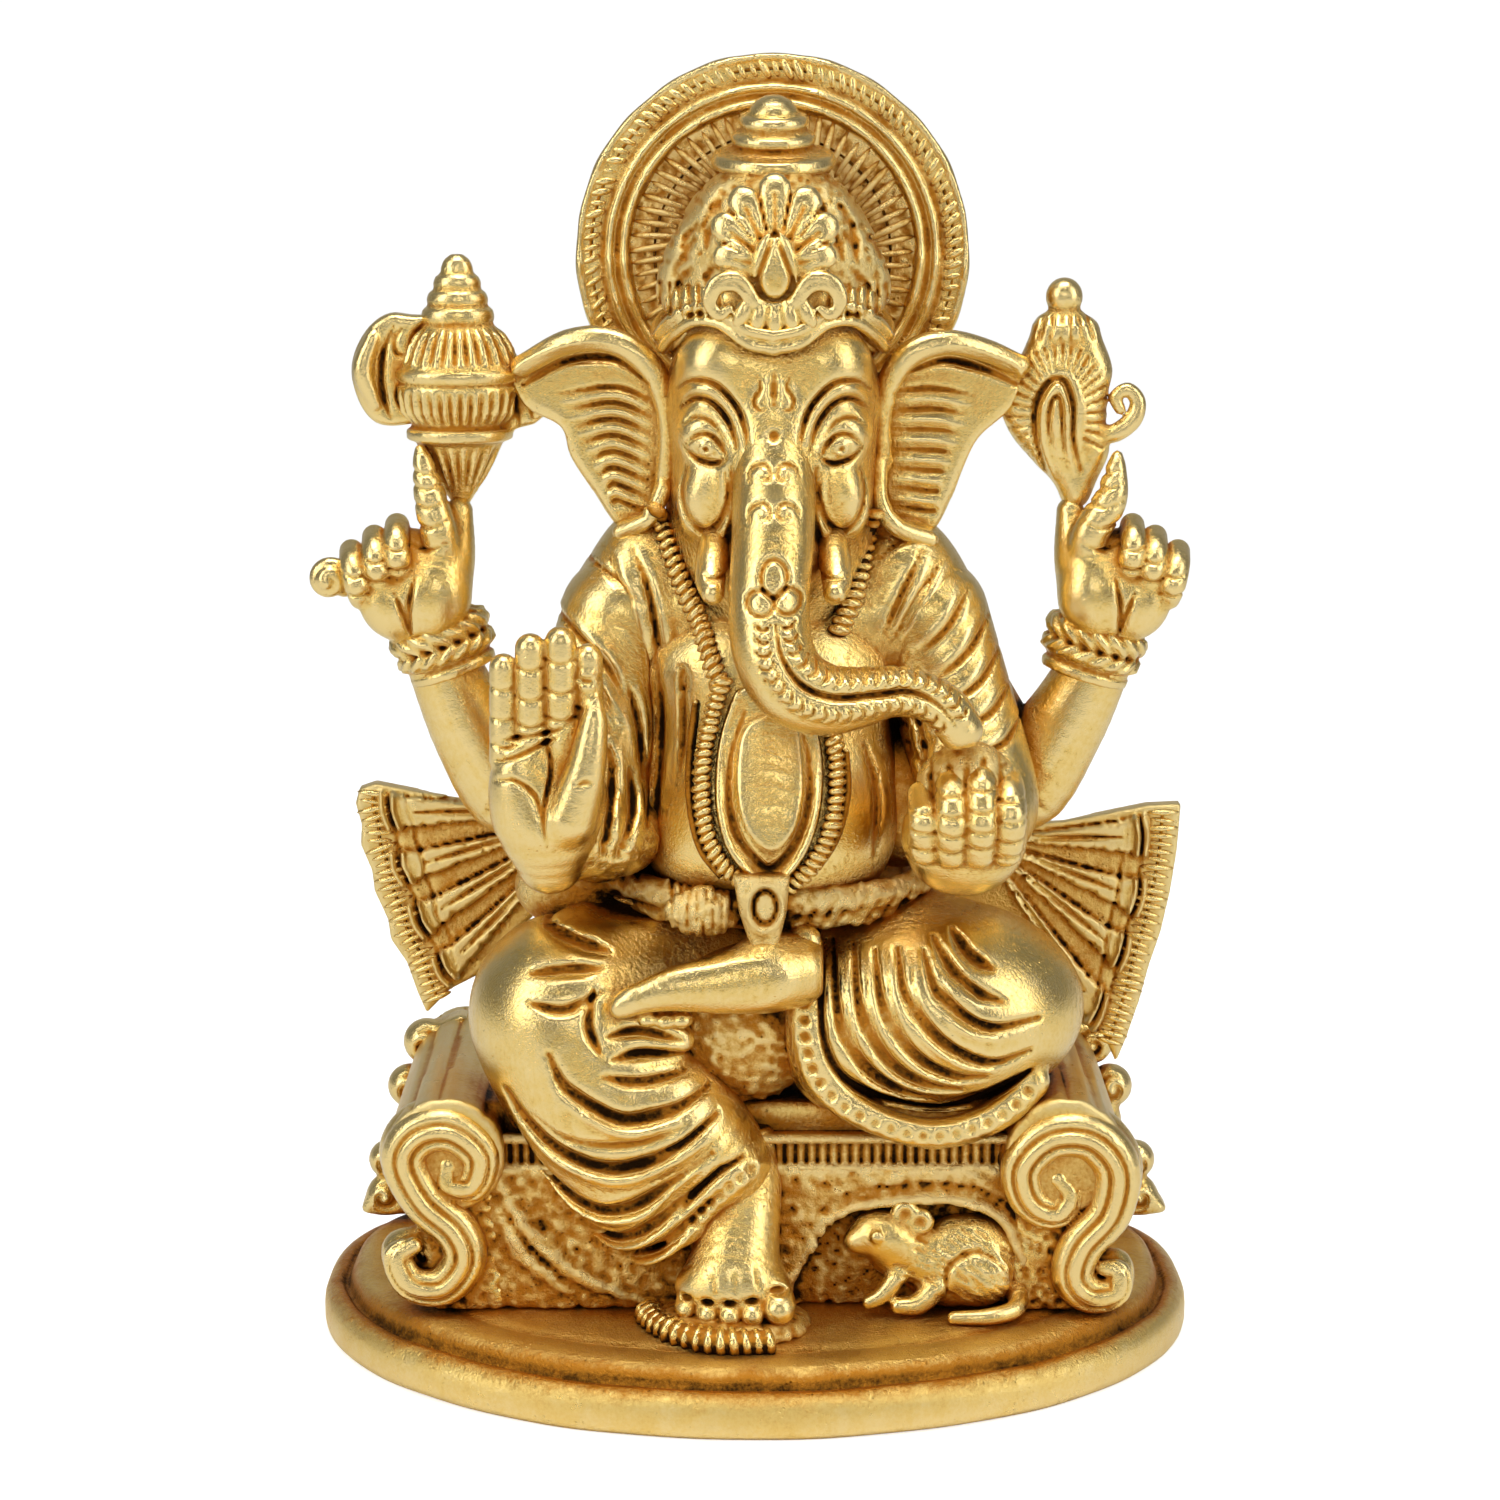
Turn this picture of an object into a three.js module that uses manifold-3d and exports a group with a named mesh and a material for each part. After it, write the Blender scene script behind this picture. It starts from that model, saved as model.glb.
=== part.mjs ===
// A brass figurine of a seated elephant-headed deity on a scroll-legged throne, about 7 inches tall.
// Millimetres, +Z up, the figure faces -Y. Right and left are the figure's own, so its right side is at -X.
// The origin is the middle of the plinth's underside. Where two members meet they keep a brazing gap.
import * as THREE from "three";
import { mergeVertices } from "three/addons/utils/BufferGeometryUtils.js";
import Module from "manifold-3d";

const wasm = await Module();
wasm.setup();

// ---- driving dimensions ----
const HEIGHT = 178; // underside of the plinth to the top of the halo
const PLINTH_WIDTH = 123.4;
const PLINTH_DEPTH = 81;
const GAP = 0.3; // brazing gap between members
const AXIS_X = 2.4; // the head and halo sit a little off the plinth's middle
const THRONE_SIDE = 41; // middle of a front scroll leg, from x = 0

const brass = new THREE.MeshStandardMaterial({ color: 0xd9ab4a, roughness: 0.28, metalness: 1 });
const darkBrass = new THREE.MeshStandardMaterial({ color: 0xb98634, roughness: 0.45, metalness: 1 });

// ---- making solids ----
function solid(geometry) {
  const bare = geometry.index ? geometry.toNonIndexed() : geometry.clone();
  bare.deleteAttribute("normal");
  bare.deleteAttribute("uv");
  const merged = mergeVertices(bare, 1e-3);
  return new wasm.Manifold(
    new wasm.Mesh({
      numProp: 3,
      vertProperties: merged.attributes.position.array,
      triVerts: new Uint32Array(merged.index.array),
    }),
  );
}

// The triangles of the biggest connected shell, so that a cut leaves no loose chips behind.
function biggestShell(triangles) {
  const parent = new Map();
  const rootOf = (v) => {
    while (parent.get(v) !== v) v = parent.get(v);
    return v;
  };
  for (const v of triangles) parent.set(v, v);
  for (let i = 0; i < triangles.length; i += 3)
    for (const other of triangles.subarray(i + 1, i + 3)) parent.set(rootOf(other), rootOf(triangles[i]));
  const shells = Map.groupBy(
    Array.from({ length: triangles.length / 3 }, (_, i) => triangles.subarray(i * 3, i * 3 + 3)),
    (corners) => rootOf(corners[0]),
  );
  const [biggest] = [...shells.values()].sort((a, b) => b.length - a.length);
  return biggest.flatMap((corners) => [...corners]);
}

// Closed rings of points, all with the same count, skinned into one body with flat ends.
function loft(rings) {
  const count = rings[0].length;
  const points = rings.flat();
  const ends = [rings[0], rings.at(-1)].map((ring) =>
    ring.reduce((sum, p) => sum.add(p), new THREE.Vector3()).divideScalar(count),
  );
  const first = points.length;
  const faces = [];
  for (let i = 0; i + 1 < rings.length; i++)
    for (let j = 0; j < count; j++) {
      const next = (j + 1) % count;
      const [a, b] = [i * count + j, i * count + next];
      faces.push(a, b, b + count, a, b + count, a + count);
    }
  const top = (rings.length - 1) * count;
  for (let j = 0; j < count; j++) {
    const next = (j + 1) % count;
    faces.push(first, next, j);
    faces.push(first + 1, top + j, top + next);
  }
  return solid(new THREE.BufferGeometry().setFromPoints([...points, ...ends]).setIndex(faces));
}

// An ellipsoid, tilted about X then Y.
function blob(at, radii, { sides = 14, tiltX = 0, tiltY = 0 } = {}) {
  return (grow = 0) => {
    const ball = new THREE.SphereGeometry(1, sides, Math.round(sides * 0.6));
    ball.rotateX(Math.PI / 2).scale(...radii.map((r) => r + grow));
    return solid(ball.rotateX(tiltX).rotateY(tiltY).translate(...at));
  };
}

// A limb: a round-ended tube of changing radius through [x, y, z, radius] stations.
function limb(stations, { sides = 10, steps = stations.length * 2 } = {}) {
  return (grow = 0) => {
    const curve = new THREE.CatmullRomCurve3(stations.map((s) => new THREE.Vector3(...s.slice(0, 3))));
    const radii = new THREE.CatmullRomCurve3(stations.map((s) => new THREE.Vector3(s[3], 0, 0)));
    const frames = curve.computeFrenetFrames(steps);
    const ring = (t, shrink, push) => {
      const i = Math.round(t * steps);
      const radius = (radii.getPoint(t).x + grow) * shrink;
      const middle = curve.getPoint(t).addScaledVector(frames.tangents[i], push);
      return Array.from({ length: sides }, (_, j) => {
        const turn = (j / sides) * 2 * Math.PI;
        return middle
          .clone()
          .addScaledVector(frames.normals[i], radius * Math.cos(turn))
          .addScaledVector(frames.binormals[i], radius * Math.sin(turn));
      });
    };
    const startRadius = stations[0][3] + grow;
    const endRadius = stations.at(-1)[3] + grow;
    const domes = [0.35, 0.75];
    return loft([
      ...domes.map((s) => ring(0, s, -startRadius * Math.sqrt(1 - s * s))),
      ...Array.from({ length: steps + 1 }, (_, i) => ring(i / steps, 1, 0)),
      ...domes.toReversed().map((s) => ring(1, s, endRadius * Math.sqrt(1 - s * s))),
    ]);
  };
}

function box(low, high) {
  return (grow = 0) => {
    const size = low.map((v, i) => high[i] - v + 2 * grow);
    const middle = low.map((v, i) => (v + high[i]) / 2);
    return solid(new THREE.BoxGeometry(...size).translate(...middle));
  };
}

// A plate standing in the XZ plane: outline points [x, z], from y = front to y = back.
// Leaning tips it about the X axis before it is moved to its place.
function plate(outline, front, back, { smooth = false, divisions = 28, lean = 0, at = [0, 0, 0] } = {}) {
  return (grow = 0) => {
    const corners = outline.map(([x, z]) => new THREE.Vector3(x, z, 0));
    const round = new THREE.CatmullRomCurve3(corners, true).getPoints(divisions).slice(0, -1);
    const shape = new THREE.Shape((smooth ? round : corners).map((p) => new THREE.Vector2(p.x, p.y)));
    const geometry = new THREE.ExtrudeGeometry(shape, {
      depth: back - front,
      bevelEnabled: grow > 0,
      bevelSize: grow,
      bevelThickness: grow,
      bevelSegments: 1,
    });
    return solid(geometry.rotateX(Math.PI / 2).translate(0, back, 0).rotateX(lean).translate(...at));
  };
}

// A turned solid: profile points [radius, z], bottom to top, squashed in y, leant sideways, then moved.
function turned([x, y, z = 0], profile, { sides = 20, squash = 1, lean = 0 } = {}) {
  return (grow = 0) => {
    const [low, high] = [profile[0][1] - grow, profile.at(-1)[1] + grow];
    const points = [[0, low], ...profile.map(([r, z]) => [r + grow, z]), [0, high]];
    points[1][1] = low;
    points.at(-2)[1] = high;
    const lathe = new THREE.LatheGeometry(points.map(([r, z]) => new THREE.Vector2(r, z)), sides);
    return solid(lathe.rotateX(Math.PI / 2).scale(1, squash, 1).rotateY(lean).translate(x, y, z));
  };
}

const both = (...makers) => (grow = 0) => makers.map((make) => make(grow)).reduce((a, b) => a.add(b));
const mirrored = (stations) => stations.map(([x, ...rest]) => [-x, ...rest]);

// ---- the assembly ----
const statue = new THREE.Group();
const made = new Map(); // name to its maker, for cutting later members clear of it

// Adds a member, cut clear of the named earlier members by the brazing gap.
function member(name, maker, { clearOf = [], material = brass } = {}) {
  const cut = clearOf.reduce((body, other) => body.subtract(made.get(other)(GAP)), maker(0));
  const { vertProperties, triVerts } = cut.getMesh();
  const geometry = new THREE.BufferGeometry()
    .setAttribute("position", new THREE.BufferAttribute(vertProperties, 3))
    .setIndex(biggestShell(triVerts));
  geometry.computeVertexNormals();
  const mesh = new THREE.Mesh(geometry, material);
  mesh.name = name;
  statue.add(mesh);
  made.set(name, maker);
}

// ---- plinth: an egg-shaped slab, round in front and squarer behind, with a stepped top ----
const BAND_HEIGHT = 6; // the tall lower band
const PLINTH_TOP = 8.5;
const STEP_INSET = 3;
const FRONT_REACH = 46; // widest line to the front edge
const WIDEST_Y = FRONT_REACH - PLINTH_DEPTH / 2;

function plinthRing(inset, z) {
  const sides = 44;
  return Array.from({ length: sides }, (_, i) => {
    const turn = (i / sides) * 2 * Math.PI;
    const [across, along] = [Math.cos(turn), Math.sin(turn)];
    const power = along > 0 ? 2 / 3 : 1; // the back is a superellipse, the front an ellipse
    const reach = (along > 0 ? PLINTH_DEPTH - FRONT_REACH : FRONT_REACH) - inset;
    const x = Math.sign(across) * Math.abs(across) ** power * (PLINTH_WIDTH / 2 - inset);
    const y = WIDEST_Y + Math.sign(along) * Math.abs(along) ** power * reach;
    return new THREE.Vector3(x, y, z);
  });
}

member("plinth", () =>
  loft([
    plinthRing(0.6, 0),
    plinthRing(0, 0.8),
    plinthRing(0, BAND_HEIGHT - 1.2),
    plinthRing(1.2, BAND_HEIGHT),
    plinthRing(STEP_INSET, BAND_HEIGHT + 0.4),
    plinthRing(STEP_INSET + 0.8, PLINTH_TOP),
  ]),
);

// ---- throne ----
const FLOOR = PLINTH_TOP + GAP; // where members standing on the plinth start
const SEAT_TOP = 38.5;
const SEAT_THICK = 5.5;
const SEAT_LOW = SEAT_TOP - SEAT_THICK;
const SEAT_FRONT = -12.5;
const SEAT_BACK = 29;
const SEAT_HALF = 49;
const BORDER_HEIGHT = 4;
const BORDER_LOW = SEAT_LOW - GAP - BORDER_HEIGHT;

member("throne_seat", box([-SEAT_HALF, SEAT_FRONT, SEAT_LOW], [SEAT_HALF, SEAT_BACK, SEAT_TOP]));
member(
  "seat_border",
  box([-SEAT_HALF + 7, SEAT_FRONT - 1.5, BORDER_LOW], [SEAT_HALF - 7, SEAT_BACK - 1, SEAT_LOW - GAP]),
  { material: darkBrass },
);
member(
  "throne_body",
  box([-SEAT_HALF + 9, SEAT_FRONT + 1, FLOOR], [SEAT_HALF - 9, SEAT_BACK - 3, BORDER_LOW - GAP]),
  { material: darkBrass },
);

// An S-scroll leg for the left side: a large volute above, a stem, and a small curl turned outwards.
const VOLUTE_RADIUS = 9;
const CURL_RADIUS = 5;
function disc(x, z, radius, front, back) {
  const circle = Array.from({ length: 16 }, (_, i) => {
    const turn = (i / 16) * 2 * Math.PI;
    return [x + radius * Math.cos(turn), z + radius * Math.sin(turn)];
  });
  return plate(circle, front, back);
}
function scrollLeg(x, front, back, side) {
  const top = SEAT_TOP + 2 - VOLUTE_RADIUS;
  const curlX = x + 4.5;
  const curlZ = FLOOR + CURL_RADIUS;
  const stem = [
    [x + 8.6, top - 1],
    [x + 3, curlZ + 6],
    [curlX - 4.8, curlZ],
    [curlX - 3, curlZ - 4],
    [x - 6, curlZ],
    [x - 4, curlZ + 7],
    [x + 2, top - 4],
  ];
  const sided = (points) => (side > 0 ? points : points.map(([px, pz]) => [-px, pz]).toReversed());
  return both(
    disc(side * x, top, VOLUTE_RADIUS, front, back),
    disc(side * curlX, curlZ, CURL_RADIUS, front, back),
    plate(sided(stem), front, back),
  );
}
const LEG_FRONT = -19;
for (const [name, side] of [["left", 1], ["right", -1]]) {
  member(`throne_leg_front_${name}`, scrollLeg(THRONE_SIDE, LEG_FRONT, SEAT_FRONT - GAP, side), {
    clearOf: ["seat_border", "throne_body"],
  });
  member(`throne_leg_rear_${name}`, scrollLeg(THRONE_SIDE + 9, SEAT_BACK - 9, SEAT_BACK - 3, side), {
    clearOf: ["throne_seat", "seat_border", "throne_body"],
  });
}

// The mouse crouches in relief on the panel below the seat; the cushion carries the hanging foot.
const MOUSE_X = 25;
const MOUSE_Y = -16;
member(
  "mouse",
  both(
    blob([MOUSE_X, MOUSE_Y, FLOOR + 6.3], [8, 4.6, 6.2], { sides: 14 }),
    blob([MOUSE_X - 9, MOUSE_Y - 1.5, FLOOR + 10], [5.2, 3, 3.2], { sides: 12, tiltY: -0.3 }),
  ),
  { clearOf: ["throne_body", "throne_leg_front_left", "plinth"] },
);
member(
  "mouse_tail",
  limb([
    [MOUSE_X + 2, MOUSE_Y - 6.6, 10.2, 1.2], [MOUSE_X + 8, MOUSE_Y - 6.8, 10.3, 1.1],
    [MOUSE_X + 12.4, MOUSE_Y - 3.5, 11.4, 0.9],
  ], {
    sides: 8,
    steps: 6,
  }),
  { clearOf: ["mouse", "plinth", "throne_leg_front_left"] },
);
const CUSHION_X = -3.5;
const CUSHION_Y = -19.5;
member("foot_cushion", turned([CUSHION_X, CUSHION_Y], [
  [11, FLOOR], [12, FLOOR + 1], [12, FLOOR + 2.2], [10.6, FLOOR + 3],
], { squash: 0.9 }), {
  clearOf: ["throne_body", "throne_leg_front_right"],
});

// ---- the seated figure, from the lap up ----
const throneTop = ["throne_seat", "seat_border"];
const KNEE_Z = 49.5;
const KNEE_RADIUS = 13.2;
member("dhoti_hips", blob([3, 8, 51], [27, 18, 13.6], { sides: 18 }), { clearOf: ["throne_seat"] });
member("leg_right_thigh", limb([
  [-6, 2, 50, 12], [-16, -4, 50, 12.6], [-25.5, -8, KNEE_Z, KNEE_RADIUS],
], { sides: 12 }), {
  clearOf: ["dhoti_hips", "throne_seat"],
});
member(
  "leg_right_shin",
  limb([[-26, -10, KNEE_Z - 2, 12], [-20.5, -16, 33, 10], [-13, -19, 21, 6.4]], { sides: 12 }),
  {
    clearOf: ["leg_right_thigh", "throne_leg_front_right", "foot_cushion", ...throneTop, "throne_body"],
  },
);
member("foot_right", limb([[-1.5, -18, 26, 4.6], [-2, -22, 18, 5], [-2.4, -24.5, 15.6, 3.8]]), {
  clearOf: ["leg_right_shin", "throne_body", "seat_border", "foot_cushion"],
});
member("leg_left_folded", blob([25, -5.5, 48.6], [21, 16.5, 15], { sides: 18 }), {
  clearOf: ["dhoti_hips", "leg_right_thigh", "throne_seat", "seat_border", "throne_leg_front_left"],
});
member("foot_left", limb([[1, -21, 57.5, 5.4], [-8, -22, 57, 3.7], [-16, -22.6, 56, 3]]), {
  clearOf: ["dhoti_hips", "leg_right_thigh", "leg_left_folded", "leg_right_shin"],
});

const BELLY_AT = [1.6, 1.5, 79];
member("belly", blob(BELLY_AT, [18.5, 17, 18.6], { sides: 18 }), {
  clearOf: ["dhoti_hips", "leg_right_thigh", "leg_left_folded", "foot_left"],
});
const torso = ["belly", "shawled_chest", "waist_belt"];
member("waist_belt", turned([2.4, 3], [
  [20.5, 63], [22.5, 64.4], [22.5, 66.6], [20.5, 68],
], { sides: 22, squash: 0.86 }), {
  clearOf: ["belly", "dhoti_hips", "leg_right_thigh", "leg_left_folded", "foot_left"],
});
member("shawled_chest", blob([1.6, 5, 100.5], [26.4, 12.6, 13], { sides: 18 }), { clearOf: ["belly"] });

// Front arms: the right hand is raised in blessing, the left holds a sweet.
member("arm_right_front", limb([
  [-20, 1.5, 101, 9], [-22, -3, 86, 8.6], [-22.5, -8, 76, 8], [-25, -12.5, 77, 6.4],
]), {
  clearOf: ["shawled_chest", "belly", "waist_belt", "leg_right_thigh"],
});
const PALM_X = -27.6;
const PALM_Y = -19;
member(
  "hand_right_front",
  both(
    blob([PALM_X, PALM_Y, 81.5], [8.2, 4, 10.2], { sides: 12 }),
    plate([
      [PALM_X - 7.6, 84], [PALM_X + 5.6, 84], [PALM_X + 5.4, 100], [PALM_X + 1, 104],
      [PALM_X - 3, 104], [PALM_X - 7.4, 100],
    ], PALM_Y - 2.4, PALM_Y + 2.2),
  ),
  { clearOf: ["arm_right_front", "leg_right_thigh"] },
);
member("arm_left_front", limb([
  [23.6, 1.5, 101, 9], [29, -2, 87, 8.6], [31, -7, 77, 8], [29.5, -11, 77, 7],
]), {
  clearOf: ["shawled_chest", "belly", "waist_belt", "leg_left_folded", "dhoti_hips"],
});
const SWEET_AT = [27.8, -20, 81];
member("sweet", blob(SWEET_AT, [7.4, 6.6, 7.6], { sides: 12 }), { clearOf: ["arm_left_front"] });
const heldSweet = ["sweet", "hand_left_front"];
member("hand_left_front", blob([28, -19.6, 78.4], [9, 8, 8.6], { sides: 12 }), {
  clearOf: ["sweet", "arm_left_front", "leg_left_folded"],
});

// Back arms rise behind the front ones, each with a bracelet below the hand.
member("arm_right_back", limb([
  [-20, 8, 98, 8], [-28, 8.5, 82, 7.6], [-34, 7, 79, 7], [-41.6, 5, 94, 5.2],
]), {
  clearOf: ["shawled_chest", "arm_right_front", "belly"],
});
member("arm_left_back", limb([[24, 8, 98, 8], [32, 8.5, 82, 7.6], [38, 7, 80, 7], [45.4, 5, 93.6, 5.2]]), {
  clearOf: ["shawled_chest", "arm_left_front", "belly"],
});
const CUFF = [[6, -2.6], [6.9, -1.6], [6.9, 1.6], [6, 2.6]];
const bracelet = (at, lean) => turned(at, CUFF, { sides: 16, lean });
member("bracelet_right_back", bracelet([-43, 4.6, 97.4], -0.35), { clearOf: ["arm_right_back"] });
member("bracelet_left_back", bracelet([46.6, 4.6, 97], 0.3), { clearOf: ["arm_left_back"] });
function backHand(x, side) {
  return both(
    blob([x, 2.6, 106.4], [6.4, 4, 8], { sides: 10 }),
    blob([x + side * 3.4, 0.6, 113], [6.6, 3.8, 4.2], { sides: 10, tiltY: side * 0.3 }),
    limb([
      [x - side * 1.2, 0.6, 114.5, 2.2], [x - side * 1.6, 0.4, 119, 2],
      [x - side * 2, 0.4, 122.6, 1.5],
    ], { sides: 8, steps: 4 }),
  );
}
member("hand_right_back", backHand(-46, -1), { clearOf: ["bracelet_right_back", "arm_right_back"] });
member("hand_left_back", backHand(49.6, 1), { clearOf: ["bracelet_left_back", "arm_left_back"] });

// What the back hands hold: a lotus-bud mace with an axe blade, a noose end, and a conch.
const MACE_AT = [-40.8, 4.6];
member(
  "lotus_mace",
  turned(MACE_AT, [
    [1.4, 117.4], [6.6, 125.6], [7.4, 127], [9.6, 130], [9.7, 134.4], [8, 136], [5.6, 142],
    [3.4, 146.8], [1, 151.2],
  ], { sides: 18, squash: 0.75 }),
  { clearOf: ["hand_right_back"] },
);
member(
  "axe_blade",
  plate([
    [-45, 142.4], [-51, 142.6], [-54.4, 139], [-55.2, 134], [-53.6, 128.8], [-49.8, 126.6],
    [-46.6, 127.4], [-49, 134],
  ], 2.6, 6.6),
  { clearOf: ["lotus_mace"] },
);
member("noose_end", both(disc(-58.2, 107.6, 3.1, 0, 5), limb([
  [-57, 2.6, 109, 1.9], [-52, 2.6, 111, 1.9],
], { sides: 8, steps: 2 })), {
  clearOf: ["hand_right_back"],
});
member(
  "conch",
  both(
    turned([41.6, 4.6], [
      [1.8, 117.8], [4.8, 125], [6.8, 130], [7.2, 135.4], [5.4, 140.4], [3.2, 144], [2.3, 145.2],
    ], { sides: 16, squash: 0.7 }),
    blob([41.4, 4.6, 147.4], [2.4, 2.4, 2.6], { sides: 10 }),
    blob([49, 4.6, 131.6], [2.8, 2.6, 3], { sides: 10 }),
  ),
  { clearOf: ["hand_left_back"] },
);

// ---- head ----
const skull = blob([AXIS_X, -1.5, 131], [14.8, 14.4, 15.4], { sides: 18 });
const jaw = blob([AXIS_X, -6, 118], [11, 9.6, 10], { sides: 12 });
member("head", both(skull, jaw), { clearOf: ["shawled_chest"] });
member(
  "trunk",
  limb([
    [AXIS_X, -15.6, 123, 6.6],
    [AXIS_X, -19.4, 114, 5.8],
    [AXIS_X + 0.6, -22.6, 106, 5.3],
    [AXIS_X + 3.6, -25, 99.8, 5],
    [AXIS_X + 9.6, -26.6, 97.7, 4.3],
    [AXIS_X + 17, -26.6, 98, 3.6],
    [AXIS_X + 23, -25.4, 95, 3.3],
    [AXIS_X + 25, -24.6, 91.6, 3.2],
  ], { sides: 10, steps: 16 }),
  { clearOf: ["head", "sweet", "belly", "shawled_chest"] },
);
for (const [name, side] of [["left", 1], ["right", -1]])
  member(`tusk_${name}`, limb([
    [AXIS_X + side * 7.6, -11, 113.6, 2.2], [AXIS_X + side * 8.6, -15.4, 110.6, 1.7],
    [AXIS_X + side * 9, -17.6, 109.4, 1],
  ], { sides: 8, steps: 4 }), {
    clearOf: ["head", "trunk"],
  });
member(
  "ear_right",
  plate([
    [-30.4, 136.4], [-26, 140.2], [-20.4, 141.2], [-15, 138.6], [-12, 134], [-11, 126], [-12.6, 118],
    [-17.6, 113.8], [-21, 116.6], [-24.8, 121.4], [-26.6, 126.4], [-30, 129.6],
  ], 2, 6, { smooth: true }),
  { clearOf: ["head", "shawled_chest", "lotus_mace"] },
);
member(
  "ear_left",
  plate([
    [34, 135.8], [28, 139], [22.6, 140.4], [18.6, 138], [16.4, 132], [16, 122.4], [17.6, 115.4],
    [23, 112.4], [26, 116], [27.2, 121.4], [28, 126.6], [33, 130.4],
  ], 2, 6, { smooth: true }),
  { clearOf: ["head", "shawled_chest", "conch"] },
);

// ---- crown ----
member("crown_band", turned([AXIS_X, -1], [
  [15.4, 139.4], [16.4, 140.6], [16.4, 143.6], [15.2, 144.8],
], { sides: 20, squash: 0.97 }), {
  clearOf: ["head", "ear_left", "ear_right"],
});
member("crown_dome", blob([AXIS_X, 0, 149], [15, 13, 13], { sides: 16 }), {
  clearOf: ["head", "crown_band"],
});
member(
  "crown_crest",
  plate([
    [-3, -9], [-8, -5], [-9.6, 1], [-6, 6.4], [0, 9.6], [6, 6.4], [9.6, 1], [8, -5], [3, -9],
  ], -1.5, 1.5, {
    smooth: true,
    lean: -0.35,
    at: [AXIS_X, -13.4, 152.4],
  }),
  { clearOf: ["crown_dome", "crown_band", "head"] },
);
member("crown_finial", turned([AXIS_X, 3.6], [
  [6, 160.6], [7.6, 162], [7.6, 164.4], [5, 165.4], [5.6, 166.6], [5.4, 168.8], [3.6, 171.4],
  [1.2, 172.6],
], { sides: 18 }), {
  clearOf: ["crown_dome", "crown_crest"],
});

// ---- halo: a plain disc carried in a raised rim ----
const HALO_RADIUS = 27;
const HALO_Z = HEIGHT - HALO_RADIUS;
const RIM_WIDTH = 4.4;
const HALO_FRONT = 12.6;
function ring(x, z, radius, front, back, sides) {
  return (grow = 0) => {
    const profile = [
      [0, front - grow], [radius + grow, front - grow], [radius + grow, back + grow],
      [0, back + grow],
    ];
    const lathe = new THREE.LatheGeometry(profile.map(([r, y]) => new THREE.Vector2(r, y)), sides);
    return solid(lathe.translate(x, 0, z));
  };
}
const haloDisc = ring(AXIS_X, HALO_Z, HALO_RADIUS - RIM_WIDTH, HALO_FRONT + 0.8, HALO_FRONT + 3.4, 36);
const inFront = ["crown_dome", "crown_finial", "head", "ear_left", "ear_right", "crown_band"];
member("halo_disc", haloDisc, { clearOf: inFront });
member("halo_rim", ring(AXIS_X, HALO_Z, HALO_RADIUS, HALO_FRONT, HALO_FRONT + 4, 36), {
  clearOf: ["halo_disc", ...inFront],
});

// ---- sash ends: pleated fans of cloth spread behind the hips ----
member(
  "sash_right",
  plate([
    [-15, 72], [-24, 77], [-40, 73], [-56, 75], [-55, 66], [-52.4, 58], [-50, 50], [-46.6, 43.4],
    [-36, 49], [-22, 60],
  ], 13, 16.4),
  { clearOf: ["dhoti_hips", "leg_right_thigh", "belly", "arm_right_back", "waist_belt", "throne_seat"] },
);
member(
  "sash_left",
  plate([
    [19, 72], [29, 76], [42, 70], [52, 72], [60, 72.8], [59.6, 62], [57.6, 50], [54, 40.2], [46, 47],
    [40, 51], [26, 60],
  ], 13, 16.4),
  { clearOf: ["dhoti_hips", "leg_left_folded", "belly", "arm_left_back", "waist_belt", "throne_seat"] },
);

// ---- jewellery on the chest ----
member("pendant", blob([AXIS_X - 0.4, -13.6, 84], [6, 5.4, 9.6], { sides: 14, tiltX: 0.06 }), {
  clearOf: ["belly", "shawled_chest", "trunk"],
});
member(
  "garland",
  limb([
    [-10, -9, 100, 1.5], [-9.6, -14, 90, 1.5], [-8, -16.6, 80, 1.5], [1.6, -17.4, 72.4, 1.5],
    [11.4, -16.6, 80, 1.5], [13, -14, 90, 1.5], [14, -9, 98, 1.5],
  ], { sides: 6, steps: 18 }),
  { clearOf: [...torso, "pendant", "trunk", "foot_left", "arm_right_front", "arm_left_front", ...heldSweet] },
);

export default statue;
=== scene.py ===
# A seated elephant-headed deity in antiqued cast brass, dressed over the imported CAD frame.
# Shapes are worked out in millimetres as numpy clay, then written as meshes in metres.
from math import copysign, cos, hypot, pi, radians, sin, tan

import bmesh
import bpy
import numpy as np
import openvdb
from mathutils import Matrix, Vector


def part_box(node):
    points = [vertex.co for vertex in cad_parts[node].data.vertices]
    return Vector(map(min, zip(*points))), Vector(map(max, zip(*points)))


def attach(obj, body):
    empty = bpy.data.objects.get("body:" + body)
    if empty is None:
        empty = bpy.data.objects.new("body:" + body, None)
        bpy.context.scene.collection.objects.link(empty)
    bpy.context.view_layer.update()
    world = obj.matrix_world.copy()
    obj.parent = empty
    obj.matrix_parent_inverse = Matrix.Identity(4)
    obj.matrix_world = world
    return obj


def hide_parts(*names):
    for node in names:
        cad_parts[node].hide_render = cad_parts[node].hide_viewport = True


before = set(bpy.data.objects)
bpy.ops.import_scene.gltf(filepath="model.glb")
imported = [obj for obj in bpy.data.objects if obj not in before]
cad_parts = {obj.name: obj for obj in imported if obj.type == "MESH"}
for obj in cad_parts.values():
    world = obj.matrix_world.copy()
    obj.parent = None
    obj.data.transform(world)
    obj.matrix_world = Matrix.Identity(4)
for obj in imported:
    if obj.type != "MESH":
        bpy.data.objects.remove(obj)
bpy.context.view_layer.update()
print("frame loaded")

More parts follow.
